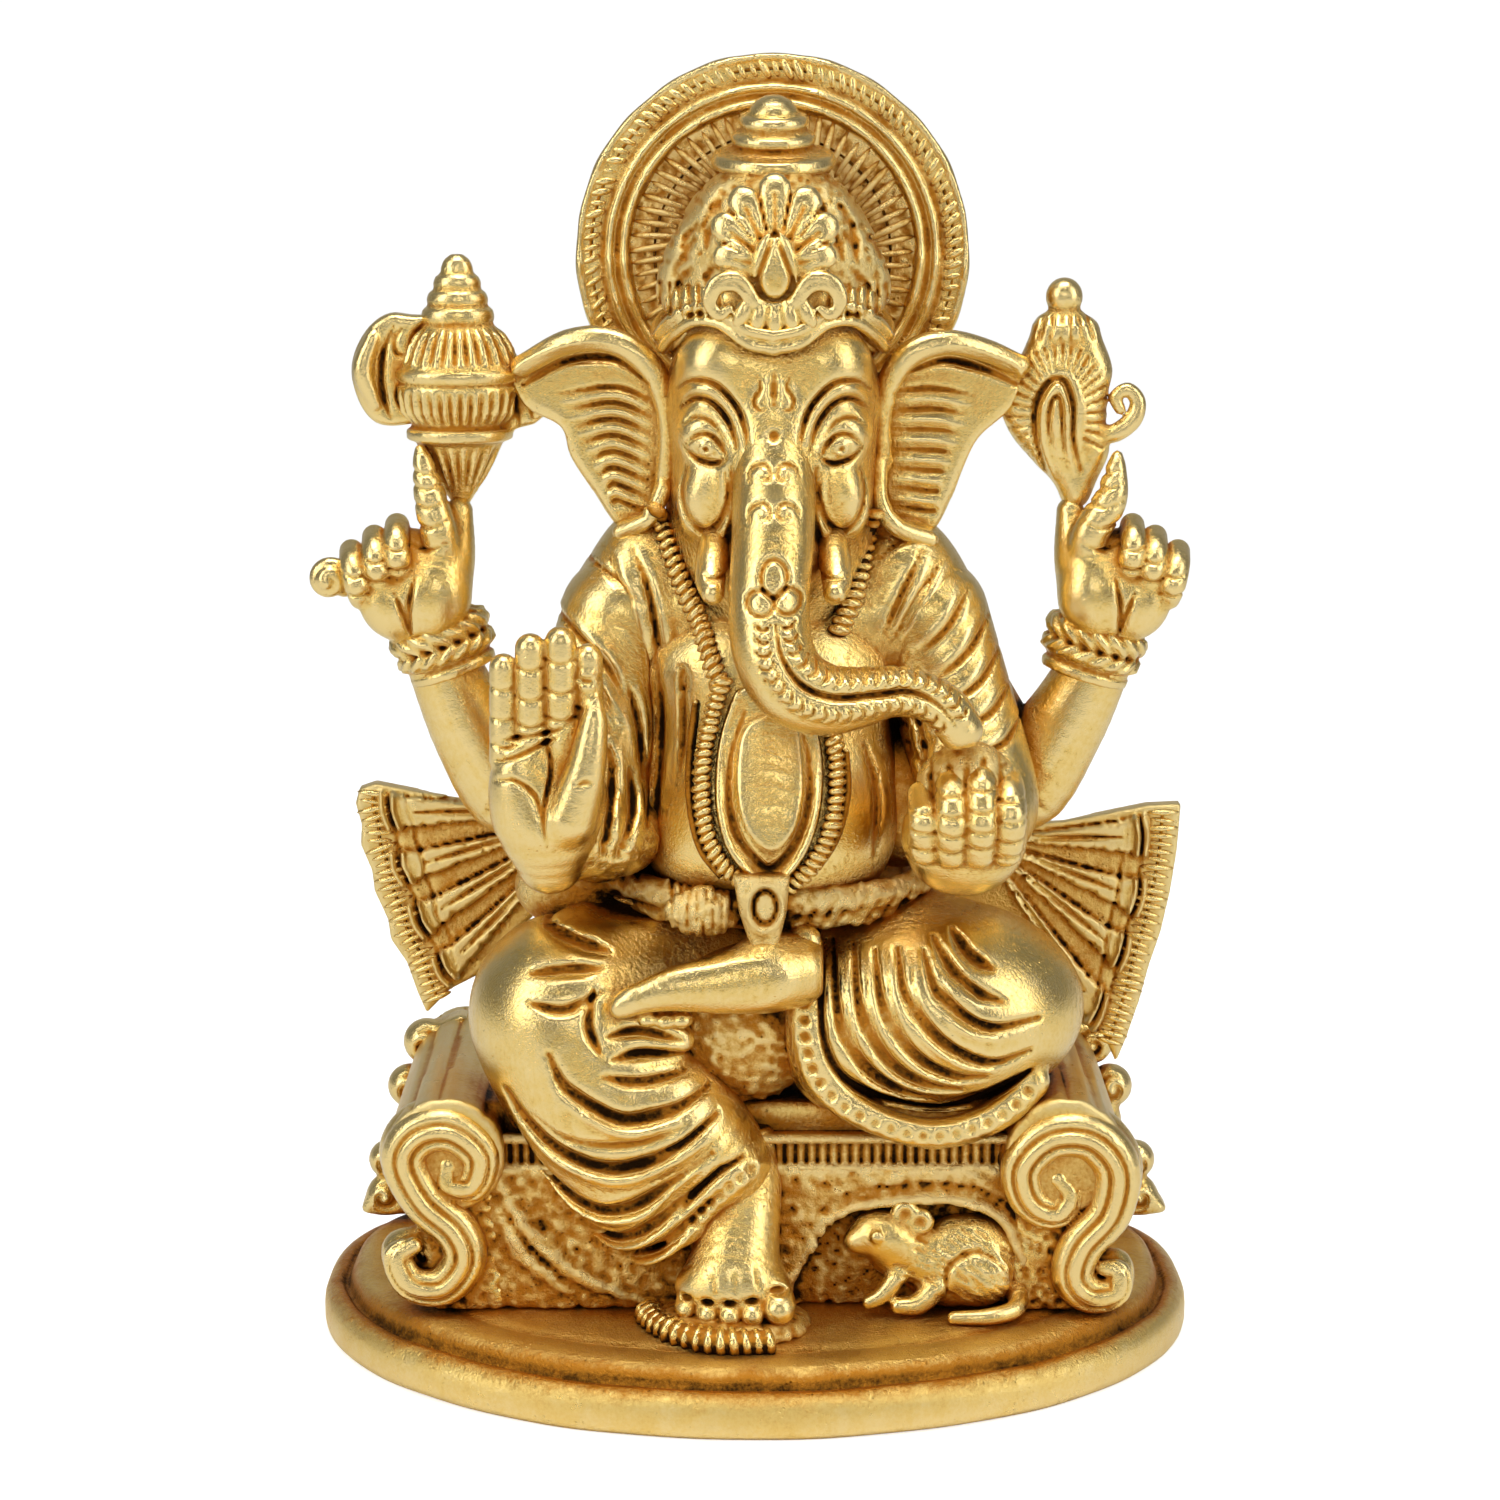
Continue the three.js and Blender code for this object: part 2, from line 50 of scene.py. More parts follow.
studio = {
    "eyeDistance": 452.5,  # camera to the middle of the plinth, along -Y, mm
    "eyeHeight": 182.0,
    "eyeAside": -0.7,
    "tiltDown": 12.2,  # degrees
    "lens": 80.8,
    "sensorWidth": 36,
    "paperGlow": 0.6,
    "worldFill": 0.24,  # the world's strength as the brass sees it
}
clayGrain = {"fine": 0.345, "plain": 0.425, "broad": 0.5, "coarse": 0.62}  # voxel edge, mm


def low(node):
    return np.array(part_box(node)[0]) * 1000


def high(node):
    return np.array(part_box(node)[1]) * 1000


def mid(node):
    return (low(node) + high(node)) / 2


def half(node):
    return (high(node) - low(node)) / 2


def fullTurn(count):
    return np.linspace(0, 2 * pi, count, endpoint=False)


axisX = float(mid("halo_disc")[0])  # the head and halo share this line
plinthTop = float(high("plinth")[2])


# clay: signed distances on a grid, negative inside
def smoothPath(points, steps=8, closed=False):
    # Catmull-Rom through rows of numbers, any width
    p = np.asarray(points, float)
    if len(p) < 3 and not closed:
        t = np.linspace(0, 1, steps + 1)[:, None]
        return p[0] * (1 - t) + p[1] * t
    q = np.vstack([p[-1], p, p[:2]]) if closed else np.vstack([2 * p[0] - p[1], p, 2 * p[-1] - p[-2]])
    out = []
    for i in range(len(q) - 3):
        a, b, c, d = q[i : i + 4]
        for t in np.arange(steps) / steps:
            out.append(
                0.5 * (
                    2 * b + (c - a) * t + (2 * a - 5 * b + 4 * c - d) * t**2 + (3 * b - a - 3 * c + d) * t**3
                )
            )
    if not closed:
        out.append(p[-1])
    return np.array(out)


def softMin(a, b, k):
    if k <= 0:
        return np.minimum(a, b)
    h = np.clip(0.5 + 0.5 * (b - a) / k, 0, 1)
    return b + (a - b) * h - k * h * (1 - h)


def outlineDistance(u, v, outline):
    # signed distance to a closed outline of (u, v) corners
    best = np.full(np.broadcast(u, v).shape, 1e9, "f")
    inside = np.zeros(best.shape, bool)
    for (ax, ay), (bx, by) in zip(outline, np.roll(outline, -1, axis=0)):
        ex, ey = bx - ax, by - ay
        wx, wy = u - ax, v - ay
        t = np.clip((wx * ex + wy * ey) / (ex * ex + ey * ey + 1e-9), 0, 1)
        best = np.minimum(best, (wx - ex * t) ** 2 + (wy - ey * t) ** 2)
        crosses = (ay <= v) != (by <= v)
        side = ex * wy - ey * wx
        inside ^= crosses & ((side > 0) == (by > ay))
    return np.where(inside, -1, 1) * np.sqrt(best)


def roundedEdge(u, v, rounding):
    # where two distances meet, both already moved out by the rounding
    outside = np.sqrt(np.maximum(u, 0) ** 2 + np.maximum(v, 0) ** 2)
    return np.minimum(np.maximum(u, v), 0) + outside - rounding


def ball(at, radii, turn=(0, 0, 0)):
    # an ellipsoid turned by degrees about x, then y, then z
    at, radii = np.array(at, float), np.ones(3) * radii
    spin = np.eye(3)
    for axis, degrees in enumerate(turn):
        c, s = cos(radians(degrees)), sin(radians(degrees))
        i, j = [(1, 2), (2, 0), (0, 1)][axis]
        m = np.eye(3)
        m[i, i], m[i, j], m[j, i], m[j, j] = c, -s, s, c
        spin = m @ spin
    reach = np.sqrt(((spin * radii) ** 2).sum(1))

    def distance(x, y, z):
        d = (x - at[0], y - at[1], z - at[2])
        local = [
            spin[0, i] * d[0] + spin[1, i] * d[1] + spin[2, i] * d[2]
            for i in range(3)
        ] if any(turn) else d
        k0 = np.sqrt(sum((v / r) ** 2 for v, r in zip(local, radii)))
        k1 = np.sqrt(sum((v / r**2) ** 2 for v, r in zip(local, radii)))
        return k0 * (k0 - 1) / np.maximum(k1, 1e-6)

    return at - reach, at + reach, distance


def tube(stations, steps=5, flat=None):
    # a round limb through [x, y, z, radius] stations; flat=(axis, factor) squashes its section
    p = smoothPath(stations, steps)
    scale = np.ones(3)
    if flat:
        scale[flat[0]] = 1 / flat[1]
    q = p[:, :3] * scale

    def distance(x, y, z):
        x, y, z = x * scale[0], y * scale[1], z * scale[2]
        best = None
        for a, b, ra, rb in zip(q[:-1], q[1:], p[:-1, 3], p[1:, 3]):
            e = b - a
            w = (x - a[0], y - a[1], z - a[2])
            t = np.clip((w[0] * e[0] + w[1] * e[1] + w[2] * e[2]) / (e @ e + 1e-9), 0, 1)
            d = np.sqrt(
                (w[0] - e[0] * t) ** 2 + (w[1] - e[1] * t) ** 2 + (w[2] - e[2] * t) ** 2
            ) - (ra + (rb - ra) * t)
            best = d if best is None else np.minimum(best, d)
        return best

    reach = p[:, 3:4]
    return (p[:, :3] - reach).min(0), (p[:, :3] + reach).max(0), distance


def slab(outline, front, back, rounding=0.6, smooth=0):
    # a plate standing in x-z; smooth=n rounds the outline with n steps
    corners = smoothPath(outline, smooth, closed=True) if smooth else np.array(outline, float)
    middle, thick = (front + back) / 2, (back - front) / 2

    def distance(x, y, z):
        u = outlineDistance(x[:, 0], z[0], corners)[:, None, :] + rounding
        v = np.abs(y - middle) - thick + rounding
        return roundedEdge(u, v, rounding)

    a = np.array([corners[:, 0].min(), front, corners[:, 1].min() - 1])
    b = np.array([corners[:, 0].max(), back, corners[:, 1].max() + 1])
    return a, b, distance


def lathe(at, profile, squash=1.0, leanX=0.0, leanY=0.0):
    # a turned form on a line through at: profile of (radius, height) corners; leans in degrees
    at = np.array(at, float)
    ring = np.array([(0, profile[0][1]), *profile, (0, profile[-1][1])], float)
    a, b = radians(leanX), radians(leanY)
    up = np.array([sin(b), -sin(a), cos(a) * cos(b)])
    up /= np.linalg.norm(up)

    def distance(x, y, z):
        d = (x - at[0], y - at[1], z - at[2])
        h = d[0] * up[0] + d[1] * up[1] + d[2] * up[2]
        px, py, pz = d[0] - h * up[0], (d[1] - h * up[1]) / squash, d[2] - h * up[2]
        return outlineDistance(np.sqrt(px**2 + py**2 + pz**2), h, ring)

    heights = ring[:, 1]
    wide = ring[:, 0].max()
    ends = np.array([at + up * heights.min(), at + up * heights.max()])
    return ends.min(0) - wide, ends.max(0) + wide, distance


def alongPath(points, gap, start=0.0):
    # places every gap millimetres along a smooth line, with the direction there
    line = smoothPath(points, 10)
    length = np.insert(np.cumsum(np.linalg.norm(np.diff(line, axis=0), axis=1)), 0, 0)
    at = np.arange(start, length[-1], gap)
    place, ahead, behind = (
        np.stack([np.interp(at + shift, length, column) for column in line.T], 1) for shift in (0, 0.2, -0.2)
    )
    direction = ahead - behind
    return place, direction / np.maximum(np.linalg.norm(direction, axis=1, keepdims=True), 1e-6)


def beside(path, distance):
    # a line kept a distance to one side of a smooth path
    place, way = alongPath(path, 1.2)
    return [(p[0] - w[1] * distance, p[1] + w[0] * distance) for p, w in zip(place, way)]


def oblong(x0, z0, x1, z1):
    return [(x0, z0), (x1, z0), (x1, z1), (x0, z1)]


def scatter(rng, across, up, count):
    # loose spots in the drawing plane
    return list(zip(rng.uniform(*across, count), rng.uniform(*up, count)))


def roughen(clay, area, count, radius, depth, until, seed):
    # loose dimples inside a box of the drawing plane
    rng = np.random.default_rng(seed)
    clay.dots(scatter(rng, area[:2], area[2:], count), radius, depth, until=until)


drawingAxes = {"front": (0, 2, 1), "side": (1, 2, 0), "top": (0, 1, 2)}  # across, up, then the depth
gateBlend = 1.5  # mm over which a drawing stops at a depth
emptySpace = 6.0  # mm, the distance that untouched clay starts with


class Clay:
    def __init__(self, lowest, highest, voxel):
        self.voxel = voxel
        self.low = np.array(lowest, float) - 3 * voxel
        count = np.ceil((np.array(highest, float) + 3 * voxel - self.low) / voxel).astype(int) + 1
        self.axes = [(self.low[i] + np.arange(count[i]) * voxel).astype("f") for i in range(3)]
        self.field = np.full(count, emptySpace, "f")

    def cells(self, axis, a, b):
        # the run of grid cells from a to b along one axis
        ends = [(a - self.low[axis]) / self.voxel, (b - self.low[axis]) / self.voxel + 2]
        return slice(*np.clip(ends, 0, len(self.axes[axis])).astype(int))

    def window(self, lowest, highest, margin=0.0):
        cut = tuple(self.cells(i, lowest[i] - margin, highest[i] + margin) for i in range(3))
        x, y, z = (self.axes[i][cut[i]] for i in range(3))
        return cut, x[:, None, None], y[None, :, None], z[None, None, :]

    def everywhere(self):
        x, y, z = self.axes
        return x[:, None, None], y[None, :, None], z[None, None, :]

    def add(self, form, soft=0.0):
        cut, x, y, z = self.window(form[0], form[1], 2.5 + soft)
        self.field[cut] = softMin(self.field[cut], form[2](x, y, z), soft)
        return self

    def cut(self, form, soft=0.0):
        cut, x, y, z = self.window(form[0], form[1], 2.0 + soft)
        self.field[cut] = -softMin(-self.field[cut], form[2](x, y, z), soft)
        return self

    def keep(self, form):
        self.field = np.maximum(self.field, form[2](*self.everywhere()))
        return self

    def relief(self, change):
        # adds change(x, y, z) to the distance: above zero sinks the surface, below zero raises it
        self.field += change(*self.everywhere())
        return self

    def draw(
        self, paths, width, depth, until=None, since=None, seen="front", steps=6, closed=False, taper=0.3
    ):
        # a line pressed (depth above zero) or raised (below zero) on one side, seen from the front, side or
        # top;
        # it thins out over the taper share of its length at each end
        u, v, across = drawingAxes[seen]
        line = np.zeros((len(self.axes[u]), len(self.axes[v])), "f")
        for path in paths:
            p = smoothPath(path, steps, closed)
            if closed:
                p = np.vstack([p, p[:1]])
            ends = np.minimum(np.linspace(0, 1, len(p)), np.linspace(1, 0, len(p)))
            fade = np.ones(len(p)) if closed or not taper else np.clip(ends / taper, 0, 1)
            for a, b, f in zip(p[:-1], p[1:], (fade[:-1] + fade[1:]) / 2):
                w = width * (0.4 + 0.6 * f)
                i = self.cells(u, min(a[0], b[0]) - w, max(a[0], b[0]) + w)
                j = self.cells(v, min(a[1], b[1]) - w, max(a[1], b[1]) + w)
                du, dv = self.axes[u][i][:, None] - a[0], self.axes[v][j][None, :] - a[1]
                e = np.array(b[:2]) - np.array(a[:2])
                t = np.clip((du * e[0] + dv * e[1]) / (e @ e + 1e-9), 0, 1)
                d = np.sqrt((du - e[0] * t) ** 2 + (dv - e[1] * t) ** 2) / w
                line[i, j] = np.maximum(line[i, j], np.clip(1 - d * d, 0, 1) ** 1.5 * (0.35 + 0.65 * f))
        self.press(line * depth, across, until, since)
        return self

    def dots(self, points, radius, depth, until=None, since=None, seen="front", hollow=0.0):
        # round marks; hollow leaves a raised middle of that share, as a ring punch does
        u, v, across = drawingAxes[seen]
        mark = np.zeros((len(self.axes[u]), len(self.axes[v])), "f")
        for p in points:
            i, j = self.cells(u, p[0] - radius, p[0] + radius), self.cells(v, p[1] - radius, p[1] + radius)
            d = np.hypot(self.axes[u][i][:, None] - p[0], self.axes[v][j][None, :] - p[1]) / radius
            shape = np.clip(1 - d**2, 0, 1) if not hollow else np.clip(
                1 - ((d - hollow) / (1 - hollow)) ** 2, 0, 1
            )
            mark[i, j] = np.maximum(mark[i, j], shape)
        self.press(mark * depth, across, until, since)
        return self

    def press(self, flat, across, until, since):
        # adds a flat picture to the distance, between two depths
        along = self.axes[across]
        gate = np.ones(len(along), "f")
        if until is not None:
            gate *= np.clip((until - along) / gateBlend + 0.5, 0, 1)
        if since is not None:
            gate *= np.clip((along - since) / gateBlend + 0.5, 0, 1)
        shape = [1, 1, 1]
        shape[across] = -1
        self.field += np.expand_dims(flat, across) * gate.reshape(shape)

    def sample(self, points, field=None):
        # trilinear reading of the field at points
        f = self.field if field is None else field
        g = (points - self.low) / self.voxel
        i = np.clip(np.floor(g).astype(int), 0, np.array(f.shape) - 2)
        t = np.clip(g - i, 0, 1)
        out = np.zeros(len(points))
        for a in (0, 1):
            for b in (0, 1):
                for c in (0, 1):
                    weight = np.abs(1 - a - t[:, 0]) * np.abs(1 - b - t[:, 1]) * np.abs(1 - c - t[:, 2])
                    out += weight * f[i[:, 0] + a, i[:, 1] + b, i[:, 2] + c]
        return out


def blurred(field, reach):
    # box mean over (2 reach + 1) cells each way
    for axis in range(3):
        n = field.shape[axis]
        total = np.cumsum(np.insert(field, 0, 0, axis=axis), axis=axis, dtype="f8")
        a = np.clip(np.arange(n) - reach, 0, n)
        b = np.clip(np.arange(n) + reach + 1, 0, n)
        shape = [1, 1, 1]
        shape[axis] = -1
        field = (np.take(total, b, axis) - np.take(total, a, axis)) / (b - a).reshape(shape)
    return field.astype("f")


pieces = []  # every finished object
dressed = set()  # frame nodes that a piece stands for
clays = {}  # name to its clay, for shading and for laying work on


def finish(obj, nodes, material):
    obj.data.materials.clear()
    obj.data.materials.append(material)
    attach(obj, "root")
    if nodes:
        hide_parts(*nodes)
        dressed.update(nodes)
    pieces.append(obj)
    return obj


def placed(name, data):
    obj = bpy.data.objects.new(name, data)
    bpy.context.scene.collection.objects.link(obj)
    return obj


def meshObject(name, points, faces):
    # points in millimetres, faces all of one length
    faces = np.asarray(faces, np.int32)
    mesh = bpy.data.meshes.new(name)
    mesh.vertices.add(len(points))
    mesh.vertices.foreach_set("co", (np.asarray(points) * 0.001).astype("f").ravel())
    mesh.loops.add(faces.size)
    mesh.loops.foreach_set("vertex_index", faces.ravel())
    mesh.polygons.add(len(faces))
    mesh.polygons.foreach_set("loop_start", np.arange(len(faces), dtype=np.int32) * faces.shape[1])
    mesh.update(calc_edges=True)
    mesh.validate()
    mesh.polygons.foreach_set("use_smooth", np.ones(len(faces), bool))
    return placed(name, mesh)


gridBand = 3.0  # cells kept either side of the surface
hollowRange = 1.5  # mm of distance that counts towards a hollow
hollowReach = 0.75  # mm looked at around a point


def fire(clay, name, nodes, material):
    # turns clay into a mesh and notes how sunken each point is
    grid = openvdb.FloatGrid(background=gridBand)
    grid.copyFromArray(np.clip(clay.field / clay.voxel, -gridBand, gridBand))
    points, quads = grid.convertToQuads(isovalue=0.0)
    points = points.astype("f8") * clay.voxel + clay.low
    obj = meshObject(name, points, quads)
    near = np.clip(clay.field, -hollowRange, hollowRange)
    hollow = -clay.sample(points, blurred(near, max(1, round(hollowReach / clay.voxel))))
    mark = obj.data.attributes.new("hollow", "FLOAT", "POINT")
    mark.data.foreach_set("value", hollow.astype("f"))
    clays[name] = clay
    print(name, len(quads) * 2, "triangles")
    return finish(obj, nodes, material)


# finishes
def shaderGroup(name, inputs, outputs):
    group = bpy.data.node_groups.new(name, "ShaderNodeTree")
    for label, kind, value in inputs:
        socket = group.interface.new_socket(label, in_out="INPUT", socket_type=kind)
        if value is not None:
            socket.default_value = value
    for label, kind in outputs:
        group.interface.new_socket(label, in_out="OUTPUT", socket_type=kind)
    return group, group.nodes.new("NodeGroupInput"), group.nodes.new("NodeGroupOutput")


def feed(tree, socket, value):
    if isinstance(value, bpy.types.NodeSocket):
        tree.links.new(value, socket)
    else:
        socket.default_value = value


def node(tree, kind, values=None, **settings):
    n = tree.nodes.new(kind)
    for key, value in settings.items():
        setattr(n, key, value)
    for key, value in (values or {}).items():
        feed(tree, n.inputs[key], value)
    return n


def sums(tree, operation, a, b=0.0, c=0.0, clamp=False):
    n = node(tree, "ShaderNodeMath", operation=operation, use_clamp=clamp)
    for i, value in enumerate((a, b, c)):
        feed(tree, n.inputs[i], value)
    return n.outputs[0]


def ramp(tree, factor, stops):
    n = node(tree, "ShaderNodeValToRGB", {"Fac": factor})
    while len(n.color_ramp.elements) < len(stops):
        n.color_ramp.elements.new(0.5)
    for element, (place, colour) in zip(n.color_ramp.elements, stops):
        element.position = place
        element.color = (*colour, 1) if len(colour) == 3 else colour
    return n.outputs["Color"]


def noise(tree, where, name, detail, rough=0.5):
    values = {"Vector": where, "Scale": noiseScale[name], "Detail": detail, "Roughness": rough}
    return node(tree, "ShaderNodeTexNoise", values).outputs["Fac"]


def between(tree, value, a, b):
    # a smooth step from 0 at a to 1 at b
    values = {"Value": value, "From Min": a, "From Max": b}
    return node(tree, "ShaderNodeMapRange", values, interpolation_type="SMOOTHSTEP").outputs["Result"]


noiseScale = {  # cells per metre
    "tooth": 2600.0,
    "filed": 260.0,
    "sparse": 420.0,
    "cloud": 190.0,
    "fleck": 1700.0,
    "smear": 340.0,
}
pitCells = 1500.0  # per metre


def makeCastGrain():
    # sand-cast skin: fine tooth, scattered pits and a slow hand-filed waviness
    group, gin, gout = shaderGroup(
        "castGrain",
        [
            ("Tooth", "NodeSocketFloat", 0.5), ("Pits", "NodeSocketFloat", 0.5),
            ("Size", "NodeSocketFloat", 1.0)
        ],
        [("Height", "NodeSocketFloat"), ("Pit", "NodeSocketFloat")],
    )
    where = node(group, "ShaderNodeTexCoord").outputs["Object"]
    scaled = node(
        group, "ShaderNodeVectorMath", {0: where, "Scale": gin.outputs["Size"]}, operation="SCALE"
    ).outputs[0]
    tooth = noise(group, scaled, "tooth", 4.0, 0.65)
    filed = noise(group, scaled, "filed", 3.0)
    cells = node(group, "ShaderNodeTexVoronoi", {"Vector": scaled, "Scale": pitCells, "Randomness": 1.0})
    sparse = noise(group, scaled, "sparse", 2.0)
    hole = ramp(group, cells.outputs["Distance"], [(0.0, (1, 1, 1)), (0.32, (0, 0, 0))])
    chance = ramp(group, sparse, [(0.56, (0, 0, 0)), (0.66, (1, 1, 1))])
    pit = sums(group, "MULTIPLY", sums(group, "MULTIPLY", hole, chance), gin.outputs["Pits"])
    rough = sums(group, "MULTIPLY", tooth, gin.outputs["Tooth"])
    height = sums(group, "SUBTRACT", sums(group, "ADD", rough, sums(group, "MULTIPLY", filed, 0.8)), pit)
    group.links.new(height, gout.inputs["Height"])
    group.links.new(pit, gout.inputs["Pit"])
    return group


def makePatinaAndShade():
    # how much dark finish is left: all of it in the hollows, patches of it on the flats; in the hollows it
    # is patina and painted shade (ambient occlusion). Convex edges also get a pale tint, partly rubbed wear,
    # partly painted highlight
    group, gin, gout = shaderGroup(
        "patinaAndShade",
        [
            ("Start", "NodeSocketFloat", 0.1), ("Full", "NodeSocketFloat", 0.5),
            ("Patches", "NodeSocketFloat", 0.3)
        ],
        [("Mask", "NodeSocketFloat"), ("Deep", "NodeSocketFloat"), ("RubbedAndHighlight", "NodeSocketFloat")],
    )
    where = node(group, "ShaderNodeTexCoord").outputs["Object"]
    hollow = node(group, "ShaderNodeAttribute", attribute_name="hollow").outputs["Fac"]
    cloud = sums(group, "SUBTRACT", noise(group, where, "cloud", 5.0, 0.6), 0.5)
    fleck = sums(group, "SUBTRACT", noise(group, where, "fleck", 3.0, 0.7), 0.5)
    both = sums(group, "ADD", cloud, sums(group, "MULTIPLY", fleck, 0.9))
    level = sums(group, "ADD", hollow, sums(group, "MULTIPLY", both, gin.outputs["Patches"]))
    full = gin.outputs["Full"]
    mask = between(group, level, gin.outputs["Start"], full)
    # the deepest hollows, later turned near black: painted shade as well as patina
    deep = between(group, level, full, sums(group, "ADD", full, 0.47))
    # convex edges get a paler brass: partly rubbed wear, partly painted highlight
    rubbedAndHighlight = between(group, level, -0.08, -0.46)
    for name, value in (("RubbedAndHighlight", rubbedAndHighlight), ("Mask", mask), ("Deep", deep)):
        group.links.new(value, gout.inputs[name])
    return group


castGrain = makeCastGrain()
patinaAndShade = makePatinaAndShade()


bumpDepth = 0.00034  # metres


def brass(name, look):
    material = bpy.data.materials.new(name)
    material.use_nodes = True
    tree = material.node_tree
    tree.nodes.clear()
    shader = node(tree, "ShaderNodeBsdfPrincipled", {"Metallic": 1.0, "IOR": 1.45})
    node(tree, "ShaderNodeOutputMaterial", {"Surface": shader.outputs["BSDF"]})
    grain = node(tree, "ShaderNodeGroup", node_tree=castGrain)
    dark = node(tree, "ShaderNodeGroup", node_tree=patinaAndShade)
    for key in ("Tooth", "Pits", "Size"):
        grain.inputs[key].default_value = look[key.lower()]
    for key in ("Start", "Full", "Patches"):
        dark.inputs[key].default_value = look[key.lower()]
    mask, deep = dark.outputs["Mask"], dark.outputs["Deep"]
    # bright brass, paler on convex edges: rubbed wear and painted highlight
    clean = node(tree, "ShaderNodeMix", data_type="RGBA")
    setColours(tree, clean, dark.outputs["RubbedAndHighlight"], look["bright"], look["pale"])
    # amber where the hollow level is high: patina and painted shade; patina patches on the flats
    warm = node(tree, "ShaderNodeMix", data_type="RGBA")
    setColours(tree, warm, mask, clean.outputs["Result"], look["amber"])
    # near black in the deepest hollows, painted shade as well as patina, and dirt in the pits
    pitsAndDeepShade = sums(
        tree, "MAXIMUM", deep,
        sums(tree, "MULTIPLY", grain.outputs["Pit"], sums(tree, "MULTIPLY", mask, 0.9))
    )
    full = node(tree, "ShaderNodeMix", data_type="RGBA")
    setColours(tree, full, pitsAndDeepShade, warm.outputs["Result"], look["sootAndShade"])
    tree.links.new(full.outputs["Result"], shader.inputs["Base Color"])
    cloud = noise(tree, node(tree, "ShaderNodeTexCoord").outputs["Object"], "smear", 4.0)
    smear = sums(tree, "MULTIPLY", sums(tree, "SUBTRACT", cloud, 0.5), look["smear"])
    rough = sums(
        tree, "ADD",
        sums(tree, "MULTIPLY_ADD", mask, look["dullRough"] - look["brightRough"], look["brightRough"]), smear
    )
    tree.links.new(sums(
        tree, "ADD", rough, sums(tree, "MULTIPLY", pitsAndDeepShade, 0.2), clamp=True
    ), shader.inputs["Roughness"])
    strength = sums(tree, "MULTIPLY_ADD", mask, look["dullBump"] - look["brightBump"], look["brightBump"])
    height = sums(tree, "MULTIPLY", grain.outputs["Height"], strength)
    bump = node(tree, "ShaderNodeBump", {"Height": height, "Distance": bumpDepth, "Strength": 1.0})
    tree.links.new(bump.outputs["Normal"], shader.inputs["Normal"])
    material.diffuse_color = (*look["bright"][:3], 1)
    return material


def setColours(tree, mix, factor, a, b):
    # the colour sockets of a Mix node share names with its others, so they go by place
    for index, value in ((0, factor), (6, a), (7, b)):
        flatColour = isinstance(value, tuple)
        feed(tree, mix.inputs[index], (*value, 1) if flatColour else value)


buffed = {
    # pale brass for convex edges: partly rubbed wear, partly painted highlight
    "pale": (0.89, 0.68, 0.29),
    "bright": (0.85, 0.6, 0.185),
    # amber: patina and painted shade in the hollows, patina patches on the flats
    "amber": (0.56, 0.225, 0.022),
    # near black for the deepest hollows: painted shade as well as patina
    "sootAndShade": (0.03, 0.014, 0.005),
    "start": -0.22,
    "full": 0.38,
    "patches": 0.62,
    "brightRough": 0.17,
    "dullRough": 0.4,
    "smear": 0.16,
    "brightBump": 0.26,
    "dullBump": 1.0,
    "tooth": 0.75,
    "pits": 0.8,
    "size": 1.0,
}
grainy = {
    **buffed, "start": -0.36, "full": 0.26, "patches": 0.66, "brightBump": 0.6, "brightRough": 0.28,
    "tooth": 1.1, "pits": 1.1
}
flat = {
    **buffed, "start": -0.18, "full": 0.34, "patches": 0.6, "brightBump": 0.45, "brightRough": 0.3,
    "pits": 0.9
}
buffedBrass = brass("buffedBrass", buffed)
grainyBrass = brass("grainyBrass", grainy)
filedBrass = brass("filedBrass", flat)
print("finishes made")


# plinth: egg-shaped, round in front and squarer behind, hand filed
plinth = {"band": 6.0, "step": 3.0, "around": 260, "wobble": 0.14}


def eggRing(inset, z, count, lift=0.0):
    box = (low("plinth"), high("plinth"))
    wide, front, back = box[1][0], box[0][1], box[1][1]
    widest = front + 46
    out = []
    for t in fullTurn(count):
        c, s = cos(t), sin(t)
        power = 2 / 3 if s > 0 else 1
        reach = (back - widest if s > 0 else widest - front) - inset
        x = copysign(abs(c) ** power, c) * (wide - inset)
        y = widest + copysign(abs(s) ** power, s) * reach
        ripple = plinth["wobble"] * (
            sin(5 * t + 1) + sin(11 * t + 2 + lift) + 0.6 * sin(23 * t)
        ) * min(inset, 1) * 0.6
        out.append((x - ripple * c, y - ripple * s, z + 0.35 * ripple))
    return out


